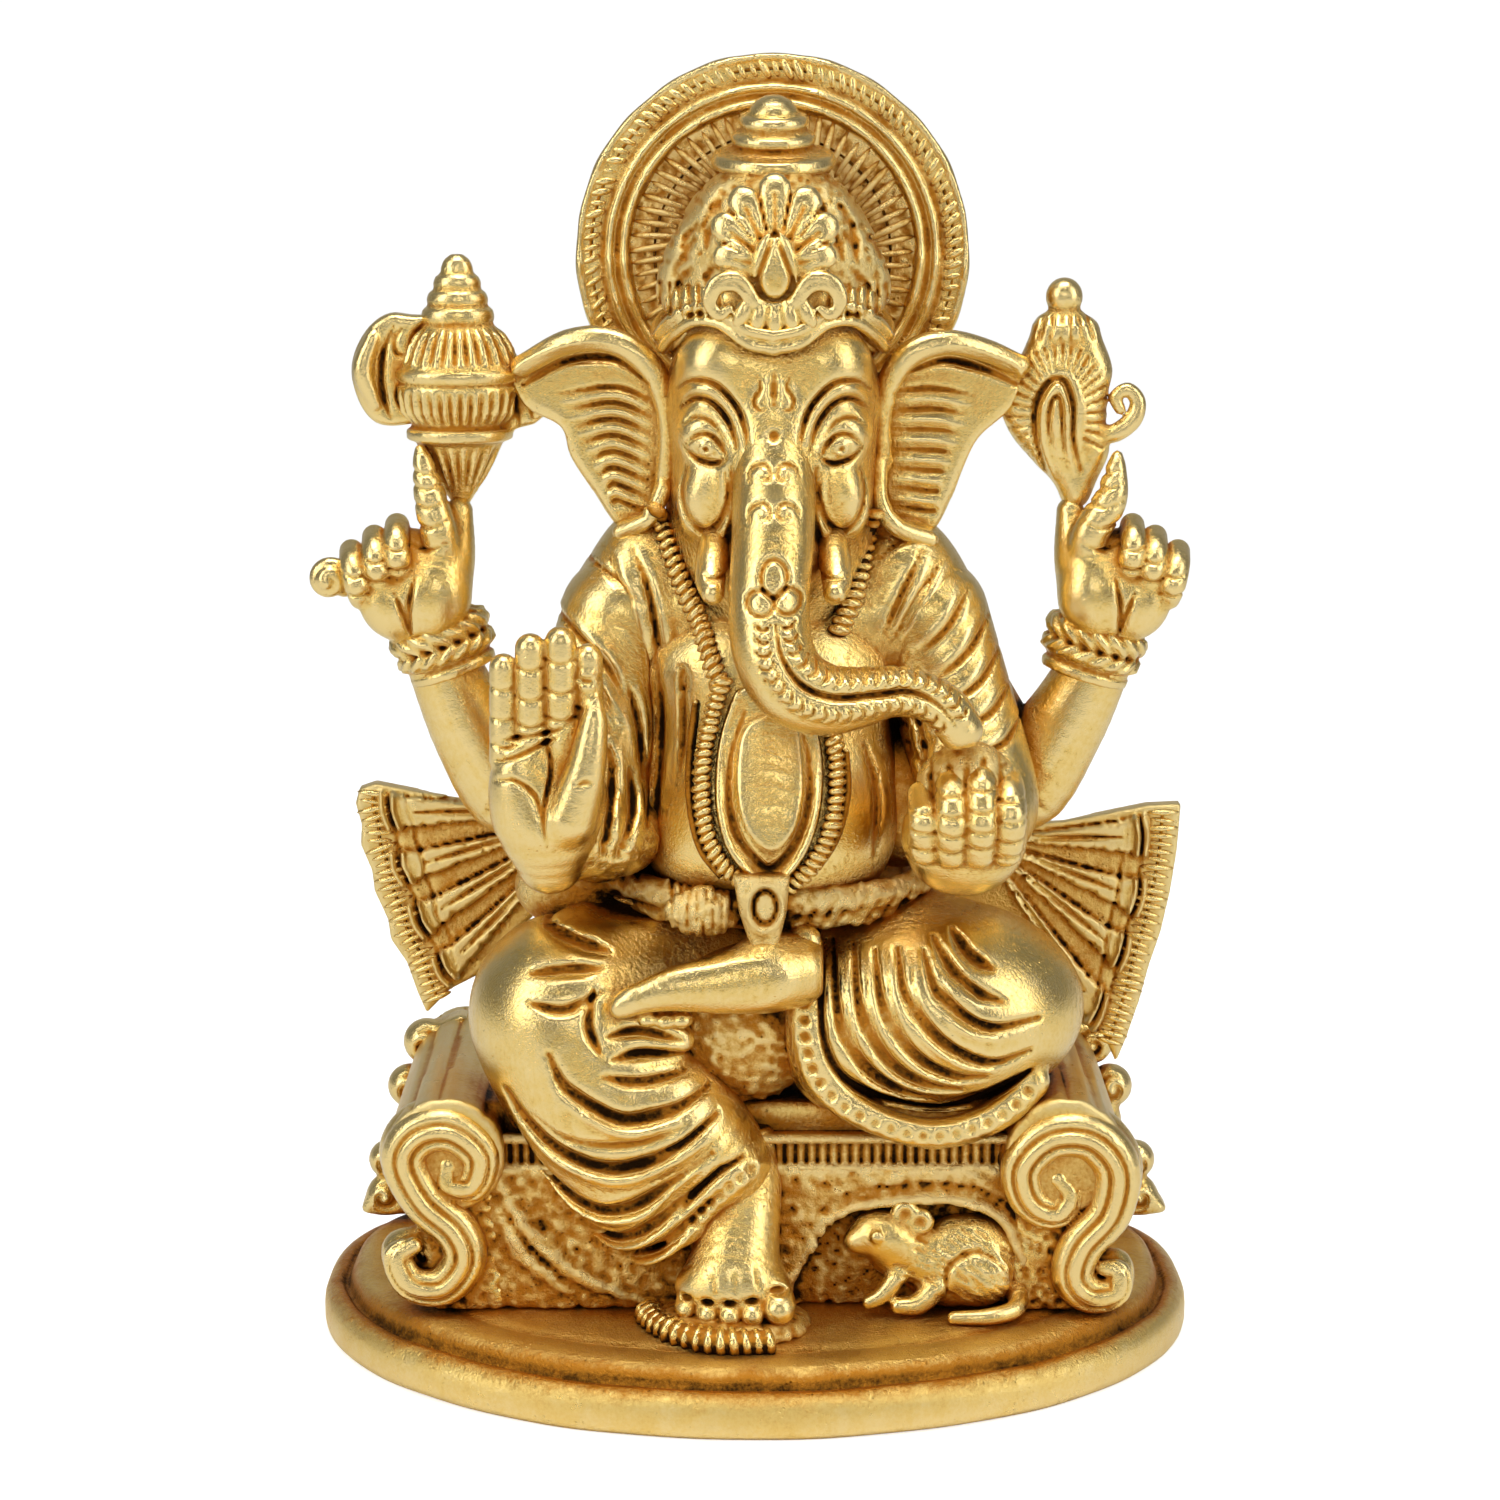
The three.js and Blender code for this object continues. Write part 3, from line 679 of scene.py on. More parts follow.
def buildPlinth():
    top = plinthTop
    profile = [
        (1.6, 0.0), (0.7, 0.15), (0.15, 0.7), (0.0, 1.5), (0.0, 3.2), (0.1, 4.2), (0.45, 5.1), (1.05, 5.75),
        (1.8, 6.1)
    ]
    profile += [
        (2.6, 6.15), (3.05, 5.75), (3.4, 5.55), (3.75, 5.8), (3.95, 6.6), (4.3, 7.5), (4.9, 8.15),
        (5.8, top - 0.1)
    ]
    profile += [
        (7.2, top), (9, top - 0.05), (10.2, top - 0.3), (10.7, top - 0.35), (11.3, top - 0.1), (13, top)
    ]
    count = plinth["around"]
    rings = [eggRing(inset, z, count, z) for inset, z in profile]
    points = [p for ring in rings for p in ring]
    points += [(0, 5, 0), (0, 5, top)]
    faces = []
    for r in range(len(rings) - 1):
        for i in range(count):
            j = (i + 1) % count
            faces.append((r * count + i, r * count + j, (r + 1) * count + j, (r + 1) * count + i))
    bm = bmesh.new()
    verts = [bm.verts.new(np.array(p) * 0.001) for p in points]
    for f in faces:
        bm.faces.new([verts[i] for i in f])
    for i in range(count):
        j = (i + 1) % count
        bm.faces.new((verts[j], verts[i], verts[-2]))
        last = (len(rings) - 1) * count
        bm.faces.new((verts[last + i], verts[last + j], verts[-1]))
    bm.normal_update()
    mesh = bpy.data.meshes.new("plinthCast")
    bm.to_mesh(mesh)
    bm.free()
    mesh.polygons.foreach_set("use_smooth", np.ones(len(mesh.polygons), bool))
    obj = placed("plinthCast", mesh)
    finish(obj, ["plinth"], filedBrass)
    block = Clay(low("plinth"), high("plinth"), 0.7)
    edge = np.array(eggRing(0.5, 0, 60))[:, :2]
    x, y, z = block.axes
    flatten = outlineDistance(x[:, None], y[None, :], edge)
    block.field = np.maximum(flatten[:, :, None], np.abs(z - top / 2)[None, None, :] - top / 2)
    clays["plinthCast"] = block


buildPlinth()
print("plinth made")


# throne: rolled seat ends on scroll legs, with a rough panel between
throne = {"rollRadius": 8.6, "rollZ": 31.2, "rollX": 42.2}


def spiral(x, z, start, turns, side, inner=0.8, phase=0.0):
    # a volute line winding inwards from radius start
    out = []
    for t in np.linspace(0, 1, int(turns * 12)):
        r = start + (inner - start) * t
        a = phase + t * turns * 2 * pi
        out.append((x + side * r * cos(a), z + r * sin(a)))
    return out


scrollLines = {  # (x, z, half width) from the eye of each scroll to its foot
    "left": [
        (41.4, 27.8, 1.5), (43, 25.4, 1.9), (40.9, 22.9, 2.2), (37.4, 24.8, 2.6), (36.3, 29.6, 2.9),
        (40, 33.8, 3.2), (45.6, 33.8, 3.3), (49.2, 29.5, 3.3), (48.4, 23.2, 3.2), (44.7, 18.4, 3.1),
        (43.6, 14, 3), (46, 11.2, 2.7), (49.4, 11.6, 2.2), (49.8, 14.4, 1.7), (47.8, 15, 1.1)
    ],
    "right": [
        (-41.9, 29.8, 1.5), (-41.9, 27.2, 1.9), (-38.5, 27, 2.3), (-37.4, 31.4, 2.8), (-41, 34.8, 3.1),
        (-45.4, 34.4, 3.2), (-47.8, 30.8, 3.2), (-45.4, 25, 3.1), (-41, 20.6, 3.1), (-39.8, 16.4, 3),
        (-42.8, 12.4, 2.8), (-47.2, 12.8, 2.4), (-49, 16.6, 2), (-46.8, 18.2, 1.3)
    ],
}


def buildScroll(name, nodeName, side):
    # a banded volute in front of the roll, standing on the plinth
    box = (low(nodeName), high(nodeName))
    rollX, rollZ, r = throne["rollX"] * side, throne["rollZ"], throne["rollRadius"]
    front, back = box[0][1] + 0.2, box[1][1] + 1.5
    line = scrollLines["left" if side > 0 else "right"]
    clay = Clay(
        (min(34.2 * side, 55.5 * side), front - 1, plinthTop), (max(34.2 * side, 55.5 * side), back + 1, 41),
        clayGrain["fine"]
    )
    wheel = [(rollX + (r - 0.8) * cos(t), rollZ - 0.6 + (r - 0.8) * sin(t)) for t in fullTurn(36)]
    clay.add(slab(wheel, front + 3.4, back, 1.1))
    web = [(34.4, 8), (44, 8), (45.5, 15), (47.5, 24), (47, 30), (36, 30)]
    clay.add(slab([(side * x, z) for x, z in web], front + 3.2, back, 1.0), 0.8)
    roughen(
        clay, (min(34 * side, 48 * side), max(34 * side, 48 * side), 9, 30), 150, 0.7, 0.45, front + 5, 51
    )
    clay.add(tube([(x, front + 5.4, z, w + 0.5) for x, z, w in line], 5), 0.5)
    clay.add(tube([(x, front + 2.6, z, w) for x, z, w in line], 5, flat=(1, 0.8)), 0.3)
    centre = [(x, z) for x, z, w in line]
    clay.draw([beside(centre, 1.15), beside(centre, -1.15)], 0.62, 0.8, until=front + 3)
    clay.keep(slab(oblong(-80, plinthTop + 0.1, 80, 80), -60, 60))
    return fire(clay, name, [nodeName], buffedBrass)


def buildSeat():
    box = (low("throne_seat"), high("throne_seat"))
    r, rollX, rollZ = throne["rollRadius"] - 0.4, throne["rollX"], throne["rollZ"]
    front, back = low("throne_leg_front_left")[1] + 2, box[1][1] - 0.3
    clay = Clay((-rollX - r, front, 21), (rollX + r, back, rollZ + r + 1), clayGrain["coarse"])
    seat = oblong(-rollX, box[0][2] - 1, rollX, box[1][2] - 1.2)
    clay.add(slab(seat, box[0][1] + 0.3, back, 1.2))
    for side in (-1, 1):
        wheel = [(side * rollX + r * cos(t), rollZ + r * sin(t)) for t in fullTurn(30)]
        clay.add(slab(wheel, front, back, 0.8), 1.5)
        lines = [[(side * (rollX + a), front + 1), (side * (rollX + a), back - 1)] for a in (-5.6, 0.6, 4.4)]
        clay.draw(lines, 0.9, 0.7, since=rollZ, seen="top", steps=3)
    return fire(clay, "throneSeat", ["throne_seat"], filedBrass)


def buildPanel():
    # hammered front of the throne, with an arched recess round the mouse
    a, b = low("throne_body"), high("throne_body")
    front = float(low("throne_leg_front_right")[1]) + 3.6
    clay = Clay((a[0] - 3, front - 3, a[2] - 0.5), (b[0] + 3, b[1] + 1, b[2] + 2), clayGrain["broad"])
    clay.add(slab(oblong(a[0], a[2] - 0.2, b[0], b[2] + 1), front, b[1], 0.8))
    recess = [(7, 8), (8, 17), (12, 22.6), (19, 24.2), (27, 24.4), (33, 22.2), (36.4, 16), (37, 8)]
    clay.cut(slab(recess, front - 5, front + 2.2, 0.5, smooth=4), 0.6)
    clay.draw([recess[1:]], 1.2, -1.0, until=front + 1)
    clay.draw([beside(recess[1:], 2.2)], 0.5, 0.5, until=front + 1)
    clay.draw([
        [(-35, 27), (-31, 20), (-24, 13.6), (-15, 9.6)], [(-35, 23), (-31.6, 16.6), (-26, 11.4)]
    ], 1.5, -1.1, until=front + 1)
    for seed, radius, depth, count in ((7, 0.9, 0.28, 600), (8, 0.8, -0.24, 600), (9, 0.45, 0.3, 1300)):
        roughen(clay, (a[0], b[0], a[2], 30), count, radius, depth, front + 3.5, seed)
    rng = np.random.default_rng(10)
    clay.dots(scatter(rng, (a[1], b[1]), (a[2], 28), 500), 0.85, 0.4, seen="side")
    clay.dots(scatter(rng, (a[0], b[0]), (a[2], 28), 500), 0.85, 0.4, since=b[1] - 2)
    return fire(clay, "thronePanel", ["throne_body"], grainyBrass)


def buildRearLeg(name, nodeName, side):
    # leaf scrolls that show past the throne's sides
    a, b = low(nodeName), high(nodeName)
    m = (a + b) / 2
    inner, outer = (a[0], b[0]) if side > 0 else (b[0], a[0])
    # the scrolls lean out towards the plinth, the lower ones most
    def at(u, w):
        pull = np.interp(w, (10, 20, 32), (1.1, 0.95, 0.66)) * (1 if side > 0 else 0.86)
        return (inner + (outer - inner) * u * float(pull), w)

    clay = Clay(a - (1.5, 1, 0.3), b + (1.5, 1, 1), clayGrain["plain"])
    stem = [
        at(0.0, 38), at(0.35, 39), at(0.62, 36), at(0.55, 30), at(0.75, 27), at(0.7, 22), at(0.5, 18),
        at(0.62, 14), at(0.9, 12.6), at(0.98, 9.4), at(0.6, 9), at(0.1, 9.2), at(0.0, 20)
    ]
    clay.add(slab(stem, a[1] + 0.6, b[1] - 0.3, 1.2, smooth=4))
    for u, w, r in (
        (0.66, 35.4, 3.4), (0.82, 28.6, 3.2), (0.62, 23.4, 3.0), (0.84, 17.2, 2.8), (0.8, 11.8, 2.8)
    ):
        x, z = at(u, w)
        clay.add(ball((x, m[1], z), (r, 3.2, r)), 1.2)
        clay.draw([spiral(x, z, r * 0.66, 1.1, side, 0.5, phase=1.2)], 0.75, 0.85, steps=2)
    for w in (12, 15, 19, 22, 26, 30, 33):
        clay.draw([[at(0.1, w), at(0.4, w + 1.6), at(0.62, w + 0.4)]], 0.6, 0.55)
    return fire(clay, name, [nodeName], buffedBrass)


buildScroll("scrollLegLeft", "throne_leg_front_left", 1)
buildScroll("scrollLegRight", "throne_leg_front_right", -1)
buildSeat()
buildPanel()
buildRearLeg("leafLegLeft", "throne_leg_rear_left", 1)
buildRearLeg("leafLegRight", "throne_leg_rear_right", -1)


def buildBorder():
    # an upright-reeded strip under the seat, between two fillets
    a, b = low("seat_border"), high("seat_border")
    clay = Clay(a - (0, 1.2, 0.6), b + (0, 0.5, 1), clayGrain["broad"])
    clay.add(slab(oblong(a[0], a[2] - 0.4, b[0], b[2] + 0.8), a[1] - 0.4, b[1] + 0.2, 0.5))
    for z in (a[2] + 0.2, b[2] + 0.2):
        clay.add(tube([(a[0] + 1, a[1] - 0.5, z, 0.75), (b[0] - 1, a[1] - 0.5, z, 0.75)], 2), 0.3)
    reeds = [[(x, a[2] + 0.8), (x, b[2] - 0.4)] for x in np.arange(a[0] + 1, b[0], 1.5)]
    clay.draw(reeds, 0.62, 0.75, until=a[1] + 2, steps=2)
    return fire(clay, "reededStrip", ["seat_border"], grainyBrass)


buildBorder()


# mouse with its tail, and the beaded cushion under the hanging foot
mouse = {"at": (26.8, -13.4, 15.2), "hairs": 60}


def buildMouse():
    mx, my, mz = mouse["at"]
    clay = Clay((9, -22, 8.4), (39, -6, 27), clayGrain["fine"])
    clay.add(ball((mx + 1.4, my, mz), (8.2, 4.8, 6.6), (0, -16, 0)))
    clay.add(ball((mx - 6.4, my - 0.6, mz + 1.4), (5, 3.6, 3.8)), 2)
    clay.add(ball((mx - 9, my - 1.6, mz + 4), (4.8, 3.4, 3.6), (0, 14, 0)), 1.4)
    clay.add(ball((mx - 12.9, my - 2, mz + 3.4), (1.9, 1.7, 1.7)), 1.2)
    for dx, dz in ((-6.3, 7.6), (-4.2, 6.4)):
        clay.add(ball((mx + dx, my - 2.2, mz + dz), (2, 1.3, 1.9)), 0.4)
        clay.cut(ball((mx + dx, my - 3.7, mz + dz), (1.1, 1, 1.1)), 0.3)
    clay.add(ball((mx - 10.2, my - 4.8, mz + 5), (0.95, 0.7, 0.95)), 0.15)
    clay.add(tube([
        (mx - 7, my - 3, mz - 1, 1.5), (mx - 9.4, my - 4, mz - 3.6, 1.2), (mx - 11.2, my - 4.2, mz - 4.6, 1)
    ]), 0.8)
    clay.add(tube([
        (mx - 1.4, my - 3, mz - 2.2, 1.9), (mx - 4.4, my - 4.2, mz - 4.8, 1.5),
        (mx - 7.2, my - 4.6, mz - 5, 1.1)
    ]), 0.8)
    clay.add(ball((mx + 4, my - 2.4, mz - 1.4), (4.6, 3.1, 4.4), (0, 0, 0)), 1)
    rng = np.random.default_rng(3)
    hairs = []
    for _ in range(mouse["hairs"]):
        x, z = rng.uniform(-8, 7.6), rng.uniform(-4.4, 5.6)
        if (x / 8) ** 2 + (z / 6) ** 2 < 1:
            hairs.append([(mx + x, mz + z), (mx + x + 1.5, mz + z - 0.9 - x * 0.05)])
    clay.draw(hairs, 0.42, 0.42, until=my, steps=2)
    clay.draw([[
        (mx - 0.6, mz - 3.8), (mx - 0.4, mz + 0.4), (mx + 3, mz + 2.6), (mx + 6.6, mz + 1.4)
    ]], 0.6, 0.6, until=my)
    fire(clay, "mouseCast", ["mouse"], buffedBrass)


def buildMouseTail():
    a, b = low("mouse_tail"), high("mouse_tail")
    clay = Clay((a[0] - 2, -26, 8.3), (b[0] + 2, -13, 16), clayGrain["fine"])
    clay.add(tube([
        (33.6, -13.4, 12.4, 1.6), (36, -15.6, 11, 1.5), (35.4, -18.6, 9.9, 1.3), (31.6, -20.6, 9.6, 1.15),
        (27, -20.6, 9.5, 0.9)
    ]))
    fire(clay, "mouseTailCast", ["mouse_tail"], buffedBrass)


def buildCushion():
    a, b = low("foot_cushion"), high("foot_cushion")
    m = (a + b) / 2
    clay = Clay(a - (2, 2, 0.6), b + (2, 2, 2), clayGrain["plain"])
    clay.add(ball((m[0], m[1], 9), (half("foot_cushion")[0] - 0.8, half("foot_cushion")[1] - 0.8, 2.9)))
    clay.keep(lathe((m[0], m[1], 8.2), [(30, 0), (30, 8)]))
    rng = np.random.default_rng(5)
    clay.dots(scatter(rng, (a[0], b[0]), (a[1], b[1]), 260), 0.6, 0.35, seen="top")
    fire(clay, "footCushion", ["foot_cushion"], grainyBrass)


buildMouse()
buildMouseTail()
buildCushion()
print("throne made")


# legs and cloth
drape = {"foldDepth": 1.5, "foldWidth": 1.5, "punch": 0.95}


def arcFolds(clay, paths, width=None, depth=None, until=None):
    # each fold is a deep pressed line with a raised lip on its lower side
    width, depth = width or drape["foldWidth"], depth or drape["foldDepth"]
    clay.draw(paths, width, depth, until=until)
    lips = [[(x + 0.3, z - width * 1.05) for x, z in path[1:-1]] for path in paths if len(path) > 3]
    clay.draw(lips, width * 0.9, -depth * 0.45, until=until)


def buildHips():
    a, b = low("dhoti_hips"), high("dhoti_hips")
    m = (a + b) / 2
    clay = Clay((a[0] - 3, -21, a[2] - 1.5), (b[0] + 3, b[1] + 1, 68), clayGrain["broad"])
    clay.add(ball((m[0], m[1] + 1, 51), (27, 17, 13.6)))
    clay.add(ball((-3, -8, 47), (13, 9, 11)), 4)
    clay.keep(slab(oblong(-60, 36, 60, 90), -40, 60))
    roughen(clay, (-10, 8, 34, 52), 420, 0.8, 0.5, 5, 11)
    folds = [[(-24 + i * 7.4, 62), (-25 + i * 7.6, 52), (-24 + i * 7.4, 41)] for i in range(8)]
    clay.draw(folds, 1.6, 1.0, since=12)
    fire(clay, "hipCloth", ["dhoti_hips"], grainyBrass)


def buildRightLeg():
    clay = Clay((-42, -28, 11), (4, 12, 68), clayGrain["plain"])
    clay.add(tube([(-2, 4, 53, 11), (-14, 0, 52.5, 12.4), (-25.5, -8, 49.6, 13.2)]))
    clay.add(tube([
        (-25.6, -9, 48.5, 12.8), (-22, -12, 38, 11.6), (-17.6, -13.5, 29, 9.8), (-12, -15, 22.5, 7.6)
    ]), 3)
    clay.add(tube([(-24, -10, 45, 12), (-12, -13.5, 35, 10), (-5, -14, 29, 7.6)]), 3)
    clay.cut(tube([(-8, -19, 12, 8), (1, -22, 15, 8)], 2), 1)
    clay.add(ball((-14.4, -17.4, 48.8), (6.4, 3.4, 3.6), (0, 12, 0)), 1.2)
    front = 0
    deep = [
        [(-27.5, 47.4), (-25.5, 43.2), (-21.5, 40.2), (-17, 38.5), (-10.7, 39.7), (-6.5, 41.6)],
        [(-33.5, 41.4), (-31.2, 37.9), (-27.2, 34.3), (-21.5, 32), (-16.4, 32), (-10.7, 34.3), (-5.2, 38.2)],
        [(-32.9, 35.5), (-30, 30.8), (-25.5, 26.9), (-21, 25.2), (-16.4, 26.2), (-11.9, 29), (-5.8, 33.6)],
        [(-31.6, 30), (-28.4, 25), (-24.4, 21.8), (-19.8, 20.6), (-15.9, 22), (-10.7, 26), (-4.6, 31.4)],
        [(-29.5, 24.6), (-26.4, 20.4), (-22.4, 17.8), (-18, 17.4), (-13.6, 19.6), (-9.4, 23.2), (-5.6, 27)],
    ]
    arcFolds(clay, deep, until=front)
    shallow = [
        [(-30, 38.6), (-26, 36), (-21, 35.2), (-15.5, 35.4), (-9, 37.6)],
        [(-29, 28), (-25, 24), (-20.4, 22.8), (-16, 23.8)],
        [(-13, 33.6), (-9.4, 35.4), (-5, 38.8)],
        [(-14, 29.6), (-9.6, 32), (-5.6, 35)],
        [(-13.4, 25.4), (-9.8, 28.4), (-6.6, 31.4)],
    ]
    clay.draw(shallow, 0.8, 0.6, until=front)
    leaves = [
        [(-29, 62.4), (-24, 60.8), (-19.8, 59.6)],
        [(-30, 57.4), (-25.5, 57.9), (-20.6, 58)],
        [(-30, 53.9), (-25.5, 53.2), (-20.6, 55.2)],
        [(-25, 64.6), (-19.6, 63.2), (-13, 62.6)],
        [(-19.6, 49.6), (-15, 50), (-9.8, 48.6)],
        [(-19, 46.6), (-14.6, 47), (-9, 46.4)],
        [(-20.4, 44.4), (-15.4, 43.4), (-9.6, 44)],
    ]
    clay.draw(leaves, 1.05, 1.1, until=front)
    clay.draw([[(-21.6, 55.6), (-22.2, 51), (-20.6, 47.4)]], 1.0, 1.1, until=front)
    hem = [(-8.6, 22.8), (-5.8, 26.4), (-2.6, 29.4), (0.4, 31)]
    clay.draw([hem], 2.4, -0.7, until=front)
    clay.draw([[(x - 1.9, z + 1.5) for x, z in hem]], 0.8, 1.0, until=front)
    clay.dots(alongPath(hem, 1.75, 0.8)[0], drape["punch"], 0.55, until=front, hollow=0.35)
    fire(clay, "rightLegCloth", ["leg_right_thigh", "leg_right_shin"], buffedBrass)


def buildHangingFoot():
    clay = Clay((-14, -30, 9.4), (8, -8, 33), clayGrain["fine"])
    clay.add(tube([
        (-0.8, -12, 31, 4.2), (-1.6, -15.6, 25, 4.3), (-2.4, -18.2, 19.4, 4.6), (-2.9, -20.4, 15.4, 4.6)
    ]))
    clay.add(tube([
        (-1.2, -15.4, 26, 4.6), (-2.4, -18.4, 19.6, 5.6), (-3, -20.4, 15, 6.6)
    ], 4, flat=(1, 0.72)), 2)
    clay.add(ball((-3.2, -20.8, 14), (7.6, 4.4, 3.4)), 2.5)
    toes = (
        (-9.4, -22.4, 12.2, 1.5), (-6.5, -23.8, 12, 1.6), (-3.5, -24.4, 12, 1.65), (-0.5, -24.4, 12.2, 1.75),
        (3.1, -23.8, 12.8, 2.4)
    )
    for x, y, z, r in toes:
        clay.add(tube([
            (x * 0.8 - 0.6, y + 4, z + 2.4, r), (x, y, z, r), (x + 0.1, y - 1, z - 0.5, r * 0.9)
        ], 3), 0.3)
        clay.cut(ball((x + 0.1, y - 1.3, z + r * 0.9), (r * 0.62, r * 0.8, 0.5)), 0.2)
    clay.draw([
        [(-5.6, 17), (-5.3, 15)], [(-2.8, 17.6), (-2.7, 15.2)], [(0, 17.8), (0.4, 15.4)]
    ], 0.5, 0.35, until=-15, steps=2)
    clay.keep(slab(oblong(-40, 10, 40, 60), -60, 20))
    fire(clay, "hangingFoot", ["foot_right"], buffedBrass)


def buildFoldedLeg():
    a, b = low("leg_left_folded"), high("leg_left_folded")
    m = (a + b) / 2
    clay = Clay((1, -26, 30), (48, 14, 67), clayGrain["plain"])
    clay.add(ball((m[0] - 0.6, m[1] + 0.4, 49.4), (20.6, 17, 14.6)))
    clay.add(tube([(8, 2, 53, 10.5), (20, -1, 53, 12)]), 3)
    clay.add(ball((12, -11, 47), (8.6, 8.6, 11)), 3)
    hem = [
        (6.6, 61), (6.5, 53.9), (6.8, 47.4), (8.7, 42.3), (12.6, 38.9), (18.6, 36.4), (24.4, 35.4),
        (30, 36.3), (34.6, 38.4), (37.6, 41.2)
    ]
    clay.add(tube([
        (x, -14.5 - 4.2 * sin((x - 4) / 34 * pi), z, 2.5)
        for x, z in hem
    ], 6, flat=(1, 0.8)), 1.2)
    inside = [
        (8.7, 60), (8.8, 53.9), (9.3, 48.3), (11.2, 43.9), (14.8, 40.9), (19.4, 38.7), (24.6, 37.7),
        (29.8, 38.6), (34, 40.8), (37.6, 43.6)
    ]
    outside = [
        (5, 58), (4.7, 52), (5, 46.4), (6.9, 41.2), (11.4, 37.2), (18, 34.4), (24.4, 33.5), (30.4, 34.4),
        (35.6, 37)
    ]
    until = 0
    clay.draw([hem], 2.3, -0.45, until=until)
    clay.draw([inside], 0.95, 1.35, until=until)
    clay.draw([outside], 0.5, 0.35, until=until)
    clay.dots(alongPath(hem, 2.25, 1.2)[0], drape["punch"], 0.6, until=until, hollow=0.35)
    deep = [
        [(10.6, 59.6), (11, 53), (12.6, 47.6), (15.6, 43.6), (20, 40.8), (24.6, 39.9)],
        [(13.4, 59.8), (13.8, 54), (15.6, 48.8), (18.4, 45), (22.8, 42.4), (27.6, 41.6)],
        [(16.2, 59.6), (16.8, 54.4), (19, 49.4), (22.4, 45.9), (27, 43.7), (31, 43.6)],
        [(19.2, 60), (20, 55.2), (22.8, 50.8), (26.6, 47.6), (31.4, 45.6), (37, 46.8)],
        [(22.6, 60), (24.2, 55.6), (27.4, 52.4), (31.4, 50.6), (38, 51.2)],
        [(24, 61.4), (26.4, 57.9), (29.2, 55.4), (33, 53.9)],
        [(26.6, 62), (28.8, 59.4), (31.8, 57.8)],
        [(25.7, 38.9), (31.4, 40.2), (37, 43.4)],
    ]
    arcFolds(clay, deep, width=1.25, depth=1.35, until=until)
    clay.draw([[(x + 1.4, z - 0.2) for x, z in path[:-1]] for path in deep[:5]], 0.5, 0.45, until=until)
    fire(clay, "leftLegCloth", ["leg_left_folded"], buffedBrass)


def buildLapFoot():
    clay = Clay((-22, -28, 48), (8, -10, 66), clayGrain["fine"])
    clay.add(tube([
        (5, -16, 57.4, 5.2), (1, -18.6, 57.2, 5.0), (-5, -20.4, 56.6, 3.9), (-11, -21.4, 56.2, 2.9),
        (-15.6, -21.6, 55, 2.0)
    ]))
    clay.add(ball((-16.8, -21.4, 54.4), (2.9, 2, 1.9), (0, -30, 0)), 0.8)
    clay.add(ball((1.4, -17.6, 60), (3.4, 3.2, 3)), 2)
    for x, z in ((-14.4, 51.9), (-12, 51.6), (-9.8, 51.8)):
        clay.add(ball((x, -20.4, z), (1.5, 1.8, 1.2)), 0.5)
    clay.draw([[(-19, 56.4), (-17, 57.6), (-14.6, 58)]], 0.5, 0.4, until=-10)
    clay.relief(lambda x, y, z: 0.5 * np.clip((-22.6 - y) / 1.2, 0, 1))
    fire(clay, "lapFoot", ["foot_left"], buffedBrass)


buildHips()
buildRightLeg()
buildHangingFoot()
buildFoldedLeg()
buildLapFoot()
print("legs made")


# body, shawl and front arms
def buildBelly():
    a, b = low("belly"), high("belly")
    m = (a + b) / 2
    clay = Clay((-21, -21, 57), (24, 20, 104), clayGrain["broad"])
    clay.add(ball((m[0], m[1], 79.5), (18.6, 17, 19.5)))
    clay.add(ball((m[0] + 0.4, -4, 73), (16, 13, 12)), 5)
    clay.add(ball((m[0], 0, 95), (18, 12.5, 12)), 4)
    folds = [
        [(-13.4, 99), (-12.6, 90), (-13.2, 80), (-14.2, 72)],
        [(-9.8, 97.4), (-9.6, 89), (-10.4, 82)],
        [(-16, 96), (-16, 87), (-16.6, 79)],
    ]
    clay.draw(folds, 0.8, 0.7, until=0)
    clay.draw([[(14.6, 87), (16.4, 80), (16, 72)]], 0.9, 0.7, until=0)
    clay.draw(
        [[(-9.6, 97.2), (-9.1, 95.6), (-9.6, 94.4), (-10.2, 95.6)]], 0.45, 0.45, until=0, closed=True,
        steps=3
    )
    fire(clay, "bellyCast", ["belly"], buffedBrass)


